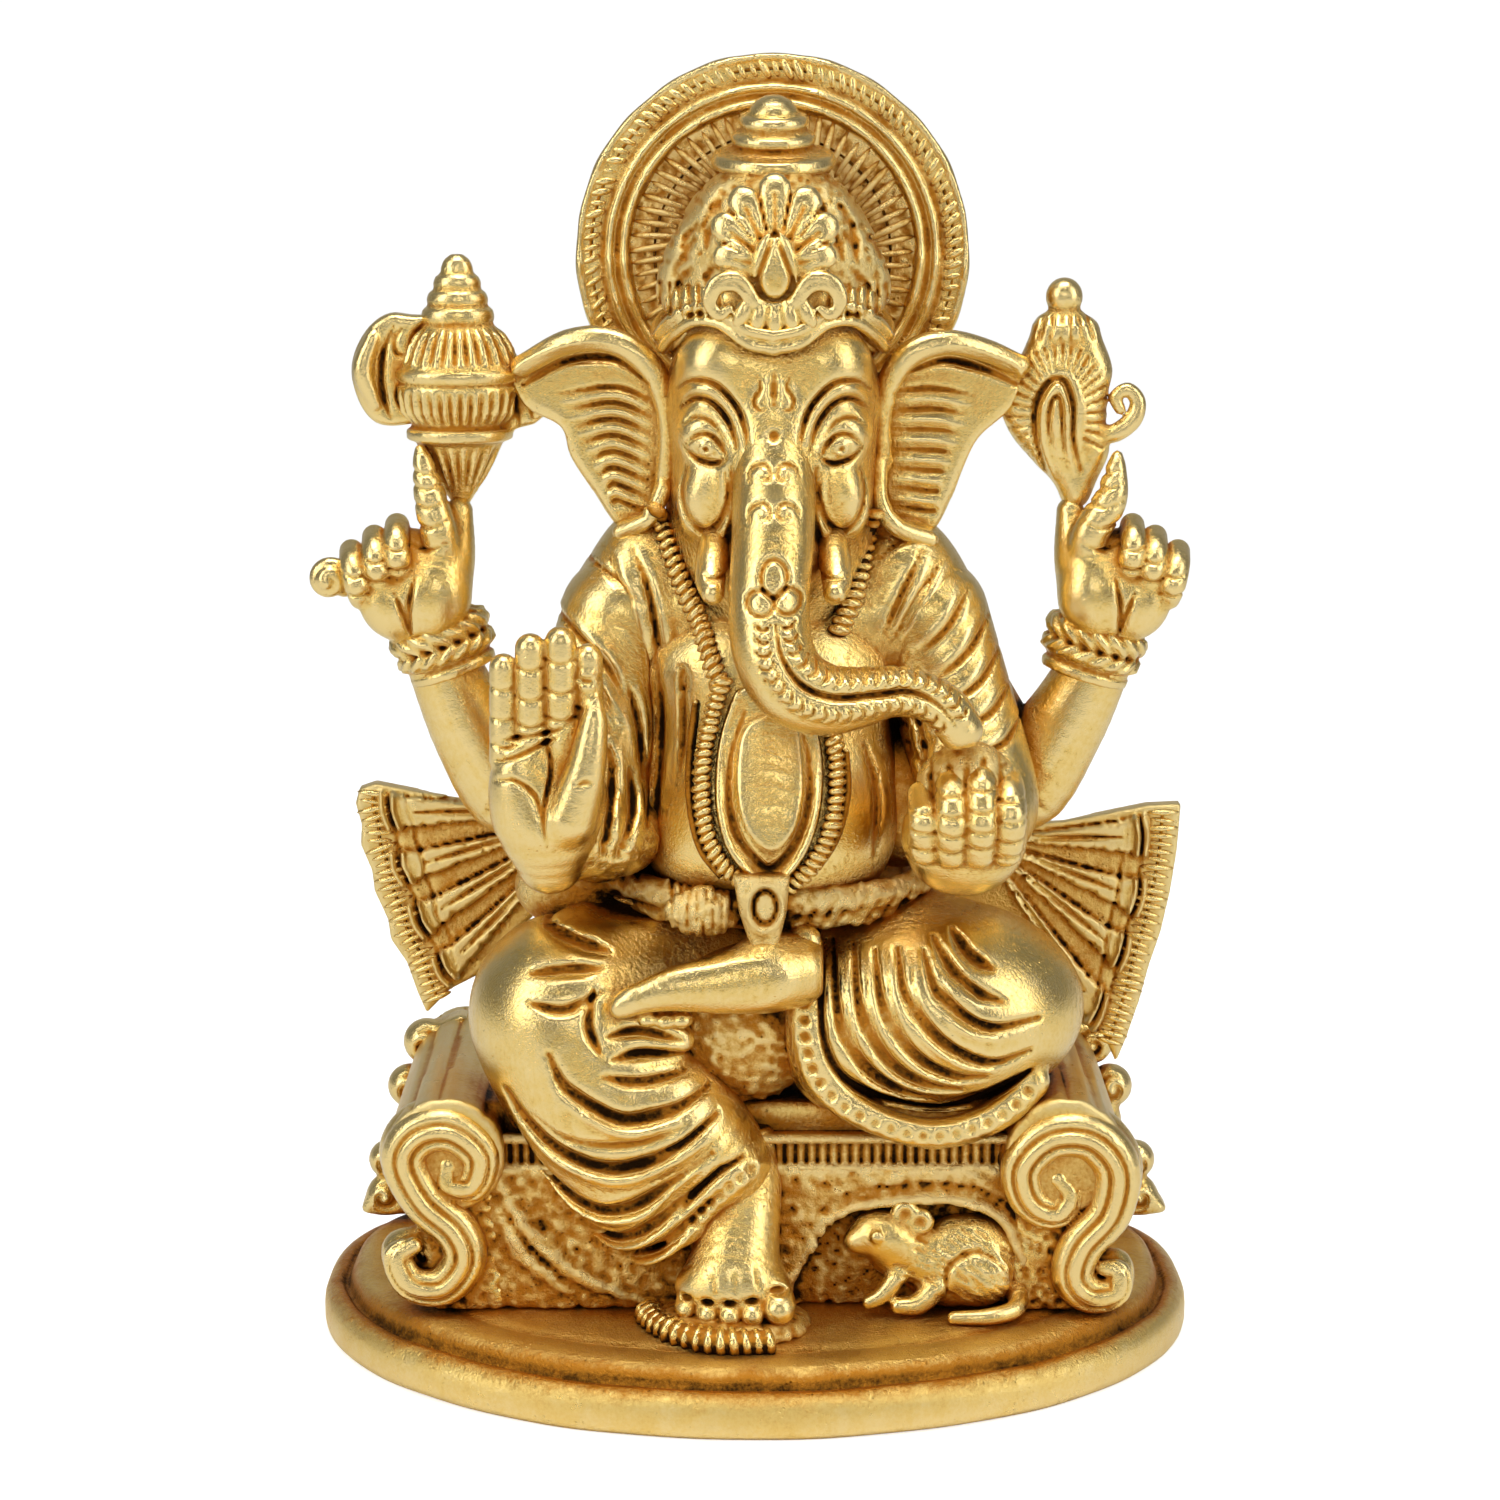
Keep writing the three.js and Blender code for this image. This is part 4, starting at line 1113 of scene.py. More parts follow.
def buildChest():
    clay = Clay((-31, -14, 66), (36, 20, 120), clayGrain["broad"])
    clay.add(ball((1.6, 4.5, 101), (26, 12.4, 12.6)))
    clay.add(ball((2.2, 1, 111), (12, 9, 6)), 3)
    clay.add(ball((2, 7, 84), (25, 7.5, 20)), 3)
    clay.add(ball((20, 3, 77), (8, 8, 10)), 2)
    clay.add(ball((-14.6, 3, 106.5), (8.2, 8.4, 10.8)), 4)
    clay.add(ball((2, 8.2, 80), (21, 9.6, 14)), 3)
    clay.add(ball((19.8, 3, 106), (8.8, 8.4, 10.6)), 4)
    clay.add(ball((-19.6, 4, 101), (7.2, 9.4, 10.5), (0, 16, 0)), 3)
    clay.add(ball((24.2, 4, 101), (7.4, 9.4, 10.5), (0, -16, 0)), 3)
    rightFolds = [
        [(-17.6, 104), (-16.6, 97), (-16.8, 89)],
        [(-25.4, 107.2), (-21.8, 105), (-18.4, 101.6)],
        [(-24.6, 109.2), (-20.8, 107), (-16.9, 103)],
        [(-26.2, 104.6), (-22.8, 102.2), (-19.6, 98.4)],
        [(-23.2, 111), (-19.4, 109), (-15.6, 105.4)],
        [(-20.4, 112.6), (-18.4, 108.6), (-16.6, 103), (-15.4, 96), (-15, 89)],
        [(-16.8, 113), (-14.6, 108), (-13.4, 102), (-12.8, 95)],
    ]
    leftFolds = [
        [(22.6, 112.4), (19.6, 106.6), (17.4, 101.4)],
        [(25.4, 111.2), (21.4, 105.4), (18.6, 100.6)],
        [(27, 109), (23.2, 103.6), (19.8, 99.6)],
        [(28.8, 107), (24.8, 101.8), (22, 98.8)],
        [(30, 104), (26.8, 100), (24.6, 97.8)],
        [(31, 101.2), (28.2, 97.8), (26.4, 96)],
        [(31.4, 98.2), (29.4, 95.6)],
        [(24.4, 113.6), (20.4, 114), (17, 111.6)],
    ]
    clay.draw(rightFolds + leftFolds, 0.62, 0.7, until=4)
    clay.draw([[(x + 1.3, z) for x, z in path] for path in rightFolds + leftFolds[:-1]], 0.8, -0.3, until=4)
    behind = [[(x * 1.1 - 1, 111 - abs(x) * 0.1), (x * 0.9, 100), (x * 0.5, 89)] for x in range(-22, 27, 6)]
    clay.draw(behind, 1.3, 0.8, since=8)
    fire(clay, "shawlChest", ["shawled_chest"], buffedBrass)


def buildBelt():
    a, b = low("waist_belt"), high("waist_belt")
    m = (a + b) / 2
    clay = Clay((-35, m[1] - 26, a[2] - 5), (b[0] + 3, b[1] + 1, b[2] + 3), clayGrain["plain"])
    ring = [
        (m[0] + 21 * cos(t), m[1] + 18.4 * sin(t), 65.8 - 1.0 * sin(t), 2.1)
        for t in np.linspace(0, 2 * pi, 30)
    ]
    clay.add(tube(ring, 2))
    clay.add(tube([
        (m[0] + 19.6 * cos(t), m[1] + 17.2 * sin(t), 63.2 - 1.0 * sin(t), 1.9)
        for t in np.linspace(0, 2 * pi, 30)
    ], 2), 0.8)
    clay.add(ball((-20, 3, 69), (9, 8, 6.4)), 1.5)
    clay.add(ball((-24, 4, 64), (9.6, 7, 6.4)), 1.5)
    clay.add(ball((-7, m[1] - 19.4, 65.6), (5.4, 3, 3.6)), 1)
    roughen(clay, (a[0] - 2, b[0] + 2, 59, 76), 800, 0.7, 0.36, 8, 21)
    hatch = [[(x, 62.2), (x + 3.2, 67.6)] for x in np.arange(4, 25, 2.1)]
    clay.draw(hatch, 0.55, 0.5, until=8, steps=2)
    # ribbed knot beside the clasp, and the clasp with its oval ring
    clay.draw([
        [(x, 62.6), (x + 0.5, 68.8)]
        for x in np.arange(-11.6, -2.6, 1.15)
    ], 0.42, 0.7, until=-8, steps=2)
    front = m[1] - 23.6
    clay.add(slab([
        (-3, 71.4), (4.6, 71.4), (4.2, 66.4), (3, 61.4), (-0.6, 61.4), (-2.2, 66.4)
    ], front, front + 6, 1), 0.3)
    ring = [(1.3 + 1.5 * cos(t), 67.2 + 2.2 * sin(t)) for t in np.linspace(0, 2 * pi, 14)[:-1]]
    clay.draw([ring], 0.5, 0.7, until=front + 3, closed=True, steps=3)
    clay.draw(
        [[(1.3 + 2.4 * cos(t), 67.2 + 3.2 * sin(t)) for t in np.linspace(0, 2 * pi, 14)[:-1]]], 0.4, -0.5,
        until=front + 3, closed=True, steps=3
    )
    fire(clay, "waistCloth", ["waist_belt"], grainyBrass)


def buildRightFrontArm():
    clay = Clay((-37, -24, 66), (-8, 14, 112), clayGrain["plain"])
    clay.add(tube([
        (-18.4, 2, 102.5, 8.4), (-20, 0, 94, 8.4), (-22.2, -3, 84, 8.6), (-23, -6.5, 76.5, 8.0),
        (-25.4, -12, 77.2, 7.0)
    ]))
    clay.add(ball((-21, -7, 74), (9, 9, 6)), 3)
    folds = [
        [(-28.6, 105), (-24.4, 101.6), (-20.4, 97.8), (-17.4, 93)],
        [(-29, 101.6), (-25.4, 98.4), (-21.6, 94.4), (-18.4, 89.4)],
        [(-26.4, 93), (-22.4, 89.4), (-18.6, 84)],
        [(-17.4, 96), (-15.8, 89), (-15.2, 82)],
        [(-14.4, 101), (-13.6, 93), (-13.6, 84), (-14.6, 76)],
        [(-27.4, 97.4), (-23.4, 94), (-19.4, 89)],
        [(-17, 84), (-16.6, 78), (-18.6, 72.6)],
        [(-19.6, 88), (-19.4, 80), (-20.6, 73)],
    ]
    clay.draw(folds, 0.72, 0.75, until=3)
    clay.draw([[(x + 1.4, z + 0.2) for x, z in path] for path in folds], 0.9, -0.35, until=3)
    roughen(clay, (-32, -12, 68, 76), 90, 0.6, 0.35, 2, 31)
    fire(clay, "rightFrontArm", ["arm_right_front"], buffedBrass)


def buildBlessingHand():
    # open palm, fingers up, thumb folded along the side
    clay = Clay((-37, -26, 68.6), (-17, -10, 108), clayGrain["fine"])
    y = -19.4
    clay.add(ball((-27.6, y + 1.6, 82), (7.6, 3.8, 9.6)))
    clay.add(tube([(-27.4, y + 3.4, 72.6, 4.6), (-27.6, y + 2, 78, 6)], 3), 3)
    clay.add(ball((-31, y, 83), (3.6, 3, 7.2)), 2)
    fingers = (
        (-33, 101.4, 2.0, 0.6), (-29.4, 104.2, 2.15, 0), (-25.4, 105.2, 2.2, -0.2), (-21.8, 102.8, 1.95, 0.3)
    )
    for x, top, r, back in fingers:
        clay.add(tube([
            (x, y + 0.6, 87, r * 1.05), (x, y - 0.1 + back, 93, r), (x, y - 0.5 + back, top - r, r * 0.94)
        ], 3), 0.35)
        for z in (top - 4.4, top - 8.4, top - 12):
            clay.draw([[(x - r, z + 0.1), (x, z - 0.5), (x + r, z + 0.1)]], 0.42, 0.42, until=y + 1, steps=3)
    clay.add(tube([
        (-24.4, y - 1.6, 79.6, 3.6), (-22.3, y - 2.2, 86, 2.7), (-21.2, y - 2, 92, 1.9),
        (-21, y - 1.4, 94.6, 1.2)
    ]), 0.9)
    lines = [
        [(-34.4, 89.6), (-30.6, 90.4), (-26.4, 91.2), (-23.6, 93)],
        [(-34.4, 87), (-31, 88), (-27.6, 89.6), (-25, 91)],
        [(-34.2, 84.6), (-31.4, 84.8), (-28.6, 82.4), (-27.8, 77.6)],
        [(-27.4, 90), (-26.8, 86), (-27.8, 80.6), (-27.4, 76)],
        [(-23.4, 84.4), (-22.4, 85), (-21.2, 84.8)],
    ]
    clay.draw(lines, 0.5, 0.6, until=y + 1)
    clay.dots([
        (-22 + 1.05 * cos(t), 98 + 1.05 * sin(t))
        for t in np.linspace(0, 2 * pi, 7)[:-1]
    ], 0.5, -0.5, until=y + 1)
    fire(clay, "blessingHand", ["hand_right_front"], buffedBrass)


def buildLeftFrontArm():
    clay = Clay((10, -24, 66), (44, 14, 112), clayGrain["plain"])
    clay.add(tube([
        (23.6, 2, 102.5, 8.4), (26, 0.6, 95, 8.2), (28.6, -2, 86, 8.2), (30.6, -6, 78.6, 8),
        (29.8, -11, 76.6, 7)
    ]))
    folds = [
        [(29, 107.4), (26, 102.4), (22, 98.6)],
        [(31.6, 103), (28.6, 98.8), (24.6, 95.6)],
        [(33.2, 98.6), (30.4, 95), (26.4, 92.4)],
        [(34.6, 94), (32, 91), (28.2, 89.2)],
        [(19, 96), (21.6, 91), (23, 86), (23, 80)],
        [(21.6, 97), (24.6, 92.4), (26.4, 87)],
        [(36, 89.4), (33.6, 87), (30.4, 86)],
    ]
    clay.draw(folds, 0.72, 0.75, until=3)
    clay.draw([[(x - 1.2, z + 0.9) for x, z in path] for path in folds], 0.9, -0.3, until=3)
    roughen(clay, (14, 26, 72, 94), 150, 0.7, 0.45, 1, 37)
    fire(clay, "leftFrontArm", ["arm_left_front"], buffedBrass)


def buildSweetHand():
    # a cupped hand, four ringed fingers standing over the round sweet
    clay = Clay((16, -31, 66.5), (39.6, -8, 92), clayGrain["fine"])
    clay.add(ball((27.8, -17.6, 76.4), (8.4, 7.4, 8)))
    clay.add(ball((27.4, -15, 72.6), (6, 6, 4)), 2)
    fingers = ((22, 84.4, 2.1), (25.6, 86.8, 2.2), (29.4, 87.4, 2.2), (33.2, 85.8, 2.2))
    for x, top, r in fingers:
        out = 1 - ((x - 27.6) / 9.6) ** 2
        clay.add(tube([
            (x * 0.96 + 1, -21.6 - 3 * out, 75.8, r), (x, -23.2 - 3.2 * out, 80, r * 1.02),
            (x, -22 - 2.4 * out, top - 3, r), (x, -20.4 - out, top - 1.8, r * 0.96)
        ], 3), 0.25)
        for z in (top - 2.6, top - 5.2, top - 7.8, top - 10.2):
            clay.draw([[(x - r, z), (x, z - 0.45), (x + r, z)]], 0.42, 0.36, until=-16, steps=3)
    fire(clay, "sweetHand", ["hand_left_front"], buffedBrass)
    treat = Clay((18, -29, 72), (38, -11, 91), clayGrain["plain"])
    treat.add(ball(mid("sweet") + (0.2, 0.6, 1), half("sweet")))
    treat.draw([[(21 + i * 2.2, 88), (20.6 + i * 2.3, 82)] for i in range(7)], 0.6, 0.5)
    roughen(treat, (19, 37, 72, 90), 120, 0.6, 0.35, -15, 41)
    fire(treat, "roundSweet", ["sweet"], grainyBrass)


buildBelly()
buildChest()
buildBelt()
buildRightFrontArm()
buildBlessingHand()
buildLeftFrontArm()
buildSweetHand()
print("body made")


# head, trunk, ears
def both(points):
    # a drawn line and its mirror image about the head's line
    return [points, [(2 * axisX - x, z) for x, z in points]]


def buildHead():
    clay = Clay((-17, -21, 103), (22, 16, 149), clayGrain["fine"])
    cx = axisX
    clay.add(ball((cx, -1, 132), (14.6, 13.4, 15)))
    clay.add(ball((cx, -5, 122), (12.2, 10.6, 11)), 4)
    for side in (-1, 1):
        clay.add(ball((cx + side * 6.4, -8.6, 138), (6.4, 6, 6.2)), 3)
        clay.add(ball((cx + side * 9.2, -8.4, 121.4), (3.4, 4.4, 6.4), (0, side * -12, 0)), 1.6)
        clay.add(ball((cx + side * 8.6, -8.6, 129), (4.4, 4.6, 4)), 2)
    clay.add(tube([(cx, -8, 136, 6.4), (cx, -10.4, 129, 6), (cx, -13, 120, 5.2), (cx, -12, 112, 6)]), 3)
    clay.add(tube([(cx, 1.6, 124, 13.2), (cx, 2.4, 115, 14.6), (cx, 3, 104, 12)]), 3)
    until = -1
    brow = [(-10.4, 134.6), (-8.4, 136.2), (-5.4, 136), (-2.6, 133.2), (-1.4, 130.4), (-0.8, 126.8)]
    fold = [(-9.8, 132.4), (-7.6, 133.8), (-5.4, 133.2), (-3.4, 130.8), (-2.4, 127.6)]
    clay.draw(both(brow) + both(fold), 0.6, 0.75, until=until)
    inner = [(-9.6, 130.4), (-7.8, 131.4), (-5.8, 130.9), (-4.2, 128.8)]
    clay.draw(both(inner), 0.45, 0.5, until=until)
    ridge = [(-9.8, 133.6), (-8, 135), (-5.4, 134.6), (-3, 132), (-1.8, 128.4)]
    clay.draw(both(ridge), 0.9, -0.5, until=until)
    lidTop = [(-9.4, 127.4), (-7.8, 129), (-6, 129.2), (-4.6, 128), (-3.8, 126.4)]
    lidLow = [(-9.4, 127.4), (-7.8, 126), (-6, 125.4), (-4.8, 125.6), (-3.8, 126.4)]
    clay.draw(both(lidTop) + both(lidLow), 0.55, 0.75, until=until, steps=4)
    clay.dots([(-6.5, 127.3), (2 * cx + 6.5, 127.3)], 1.15, -0.5, until=until)
    clay.dots([(-6.5, 127.3), (2 * cx + 6.5, 127.3)], 0.5, 0.7, until=until, hollow=0.4)
    pad = [(-9, 124.6), (-9.6, 121.4), (-8.8, 118), (-6.6, 116.2), (-4.4, 118), (-3.6, 121.4), (-3.9, 124.4)]
    clay.draw(both(pad), 0.7, 0.7, until=until)
    creases = [[(-3.2, 125), (-2.8, 121), (-3.2, 116.6), (-4.4, 113)]]
    clay.draw(creases + both(creases[0])[1:], 1.0, 0.9, until=until)
    # forehead marks: an upright between two curls, and a dot
    clay.draw([[(cx, 137.2), (cx, 133.4)]], 0.75, 0.55, until=until, steps=3)
    clay.draw(
        both([(0.2, 137.2), (0.7, 135.6), (-0.2, 134), (0.2, 132.8), (1.2, 132.6)]), 0.42, 0.5, until=until,
        steps=4
    )
    clay.dots([(cx, 129.4)], 0.8, 0.5, until=until, hollow=0.4)
    fire(clay, "headCast", ["head"], buffedBrass)


trunk = {
    "path": [
        (2.4, -7.4, 137, 4.6),
        (2.4, -10.2, 130.4, 5.2),
        (2.4, -13.6, 123.4, 5.5),
        (2.3, -17.4, 116, 5.4),
        (1.8, -20.6, 109, 5.3),
        (2.2, -23.0, 102.6, 5.3),
        (4.6, -24.6, 98.2, 5.2),
        (8.6, -25.6, 96.4, 4.7),
        (12.8, -25.9, 96.6, 4.0),
        (17.4, -25.8, 97.4, 3.3),
        (21.6, -25.4, 96.8, 3.1),
        (24.6, -24.6, 95.0, 3.1),
        (26.6, -24.0, 92.2, 3.0),
    ],
    "bandGap": 1.65,
}


def buildTrunk():
    clay = Clay((-6, -32, 86), (33, -3, 143), clayGrain["fine"])
    clay.add(tube(trunk["path"], 6))
    clay.cut(ball((27.2, -24, 88.9), (1.6, 1.9, 1.2)), 0.6)
    until = -16
    groove = [
        (2.6, 106.4), (3.4, 102.4), (6, 98.9), (10, 97.4), (15, 97.6), (19.6, 97.9), (23.2, 96.4),
        (25.8, 93.4)
    ]
    lowerBand = [
        (1, 106), (1.4, 101.4), (4.2, 97.2), (9, 95.2), (14.2, 95.6), (18.6, 96.2), (21.8, 95), (24.4, 92.2)
    ]
    upperBand = [
        (4.2, 106.2), (5.2, 103), (7.6, 100.6), (11.4, 99.4), (15.6, 99.6), (20.2, 99.5), (24.2, 97.8),
        (27.2, 94)
    ]
    clay.draw([groove], 0.7, 1.1, until=until)
    clay.draw([lowerBand, upperBand], 1.35, -0.75, until=until)
    for line in (lowerBand, upperBand):
        place, way = alongPath(line, trunk["bandGap"])
        nicks = [
            [
                (p[0] - 0.95 * w[1] - 0.3 * w[0], p[1] + 0.95 * w[0] - 0.3 * w[1]),
                (p[0] + 0.3 * w[0], p[1] + 0.3 * w[1]),
                (p[0] + 0.95 * w[1] - 0.3 * w[0], p[1] - 0.95 * w[0] - 0.3 * w[1])
            ]
            for p, w in zip(place, way)
        ]
        clay.draw(nicks, 0.42, 0.75, until=until, steps=2)
    # a three-petalled flower where the bands start
    for x, z, rx, rz in ((0.6, 109, 1.7, 1.6), (4.2, 109.2, 1.7, 1.6), (2.4, 112, 1.7, 2.4)):
        loop = [(x + rx * cos(t), z + rz * sin(t)) for t in np.linspace(0, 2 * pi, 9)[:-1]]
        clay.draw([loop], 0.45, 0.55, until=-14, closed=True, steps=3)
    # forehead marks: an upright between two curls, a dot, then two pairs of curls down the trunk
    cx = axisX
    clay.draw([[(cx, 137.2), (cx, 133.4)]], 0.75, 0.5, until=-8, steps=3)
    clay.draw(both([
        (0.2, 137.2), (0.7, 135.6), (-0.2, 134), (0.2, 132.8), (1.2, 132.6)
    ]), 0.42, 0.5, until=-8, steps=4)
    clay.dots([(cx, 129.4)], 0.8, 0.5, until=-8, hollow=0.4)
    for z in (125.4, 120.6):
        curl = [
            (cx - 3.2, z - 1.8), (cx - 3, z - 0.2), (cx - 1.4, z + 0.6), (cx - 0.4, z - 0.4),
            (cx - 1, z - 1.4), (cx - 1.9, z - 0.8)
        ]
        clay.draw(both(curl), 0.42, 0.45, until=-8, steps=4)
    fire(clay, "trunkCast", ["trunk"], buffedBrass)


def buildTusks():
    for name, side in (("left", 1), ("right", -1)):
        clay = Clay((axisX + side * 8.6 - 5, -23, 104), (axisX + side * 8.6 + 5, -6, 118), clayGrain["fine"])
        x = axisX + side * 7.4
        clay.add(tube([
            (x, -9, 115, 2.4), (x + side * 0.6, -12.6, 112.6, 2.3), (x + side * 0.9, -15.6, 110.4, 2.0),
            (x + side * 0.6, -17.6, 109, 1.6)
        ]))
        clay.draw([[(x - 2, 111.4), (x + side * 0.6, 110.8), (x + 2.6, 111.4)]], 0.4, 0.4, until=-8)
        fire(clay, "tuskCast" + name.title(), ["tusk_" + name], buffedBrass)


ears = {
    "left": {
        "flap": [
            (17.4, 135), (20.4, 139), (26.4, 140), (31.6, 138.6), (35.6, 136.4), (34.6, 131.4),
            (30.2, 127.2), (28.2, 123), (26.8, 119), (24.4, 114.4), (21, 113.6), (17.6, 117.4), (16.6, 125.4)
        ],
        "rim": [
            (17.2, -1, 124, 1.3), (16.8, -1.6, 130, 1.5), (17.9, -2, 135, 1.7), (20.8, -2, 138.8, 1.8),
            (25.6, -1.4, 140.2, 1.7), (30.8, 0, 139, 1.6), (35.6, 1.6, 136.8, 1.5)
        ],
        "inner": [(16.6, -2, 124, 1.2), (16.8, -3, 119, 1.2), (19, -3, 115.6, 1.3), (23.6, -1, 113.6, 1.3)],
        "ribs": [
            [(18.6, z), (24, z + 0.4 - i * 0.2), (29.4 - i * 0.9, z - 0.6)]
            for i, z in enumerate((133.4, 130.8, 128.2, 125.6, 123, 120.4, 117.8))
        ],
    },
    "right": {
        "flap": [
            (-12.4, 134), (-14.6, 138.6), (-20.4, 140.4), (-26.4, 139.6), (-32.4, 136.2), (-31, 131.4),
            (-26.2, 128.6), (-25, 124.6), (-22.2, 120), (-18.4, 114.6), (-14.6, 115.6), (-12, 121)
        ],
        "rim": [
            (-12.4, -1, 120, 1.3), (-11.6, -1.8, 127, 1.5), (-12, -2, 132.6, 1.7), (-14.4, -2, 137.4, 1.8),
            (-19, -1.6, 140.4, 1.8), (-25, -0.6, 140.2, 1.7), (-31.4, 1, 136.8, 1.5)
        ],
        "inner": [(-12.4, -2, 120.4, 1.2), (-14.4, -2.4, 116.6, 1.2), (-18.2, -1, 114.6, 1.2)],
        "ribs": [
            [(-14 - i * 0.1, z - 0.8), (-19, z + 1.0), (-26.6 + i * 1.1, z)]
            for i, z in enumerate((133, 130.8, 128.6, 126.4, 124.2, 122, 119.8, 117.6))
        ],
    },
}


def buildEar(name):
    ear = ears[name]
    corners = np.array(ear["flap"])
    clay = Clay((corners[:, 0].min() - 5, -5, 110), (corners[:, 0].max() + 5, 8, 144), clayGrain["fine"])
    clay.add(slab(ear["flap"], 1.2, 5.4, 1.2, smooth=4))
    clay.add(tube(ear["rim"]), 0.7)
    clay.add(tube(ear["inner"]), 0.7)
    clay.draw(ear["ribs"], 0.5, 0.55, until=2.6)
    clay.draw([[(p[0], p[2] - 2.7) for p in ear["rim"][3:]]], 1.0, 1.1, until=3, taper=0.6)
    between = [
        [((a[0] + b[0]) / 2, (a[1] + b[1]) / 2) for a, b in zip(p, q)]
        for p, q in zip(ear["ribs"][:-1], ear["ribs"][1:])
    ]
    clay.draw(between, 0.8, -0.4, until=2.6)
    clay.draw([[(x, z) for x, z in corners[1:9]]], 0.6, -0.3, until=2.6)
    veins = [[(corners[:, 0].mean(), z), (corners[:, 0].mean() * 1.25, z - 2)] for z in range(117, 137, 3)]
    clay.draw(veins, 0.8, 0.5, since=4)
    fire(clay, "earCast" + name.title(), ["ear_" + name], buffedBrass)


buildHead()
buildTrunk()
buildTusks()
buildEar("left")
buildEar("right")
print("head made")


# crown and halo
def buildCrown():
    cx = axisX
    clay = Clay((-17, -20, 131), (22, 17, 151), clayGrain["fine"])
    bandPath = [
        (cx, -15.8, 140.6), (cx + 3.4, -15.6, 141.4), (cx + 7, -14, 143.8), (cx + 10.4, -11.8, 143.9),
        (cx + 13.4, -8, 141.6), (cx + 14.8, -3, 139.6), (cx + 14.6, 4, 141), (cx + 11, 10, 143),
        (cx, 13, 144)
    ]
    for lift, r in ((0, 0.8), (1.75, 0.85)):
        for side in (-1, 1):
            clay.add(tube([
                (cx + side * (x - cx) * (1 + lift * 0.02), y - lift * 0.08, z + lift, r)
                for x, y, z in bandPath
            ], 6), 0.25)
    clay.add(ball((cx, -0.6, 146.2), (15.6, 13.8, 5.4)), 0.5)
    clay.keep(slab(oblong(-60, 130, 60, 149.4), -60, 60))
    clay.cut(ball((cx, -1, 132), (13.4, 12.2, 13.4)))
    reeds = [
        [(cx + side * x, 144.6), (cx + side * (x + 0.2), 148)]
        for side in (-1, 1)
        for x in np.arange(7, 16, 1.3)
    ]
    clay.draw(reeds, 0.55, 0.7, until=6, steps=2)
    fire(clay, "crownBand", ["crown_band"], buffedBrass)

    dome = Clay((-15, -17, 141), (20, 15, 166), clayGrain["fine"])
    dome.add(ball((cx, -0.5, 149), (15, 12.6, 12)))
    dome.add(ball((cx, 0, 156), (10.8, 10, 8.4)), 4)
    for side in (-1, 1):
        for x, z, w, h, tilt in (
            (11, 151.6, 3, 4.6, -20), (7.6, 157.4, 2.4, 3.8, -32), (13.4, 147.4, 2, 2.8, -8)
        ):
            dome.add(ball((cx + side * x, -7.4 + x * 0.3, z), (w, 3.2, h), (0, side * tilt, 0)), 2)
    # hair laid in locks that rise and lean to the middle
    rng = np.random.default_rng(55)
    locks = []
    for _ in range(44):
        x, z = rng.uniform(-14, 14), rng.uniform(145, 158)
        rise = rng.uniform(2.2, 4.2)
        locks.append([
            (cx + x, z), (cx + x * 0.97 + rng.normal(0, 0.2), z + rise * 0.5),
            (cx + x * (1 - rise * 0.045), z + rise)
        ])
    dome.draw(locks, 0.7, 0.5, until=4, steps=4)
    dome.draw([
        [(cx + x, 144.6), (cx + x * 0.99, 148.4)]
        for x in np.arange(-15, 15.2, 1.25)
    ], 0.5, 0.6, until=4, steps=2)
    dome.dots(
        list(zip(cx + rng.uniform(-15, 15, 260), rng.uniform(145, 163, 260))), 0.5, 0.25, until=4, hollow=0.3
    )
    dome.draw([[(x, 146), (x * 0.8 + 0.4, 158)] for x in np.arange(-12, 18, 2.2)], 0.8, 0.6, since=3)
    fire(dome, "crownDome", ["crown_dome"], grainyBrass)


crest = {
    "middle": (2.5, 151.0), "front": -17.2,
    "lobes": [(90, 11.4), (64, 10.7), (116, 10.7), (39, 9.5), (141, 9.5), (13, 7.5), (167, 7.5)]
}


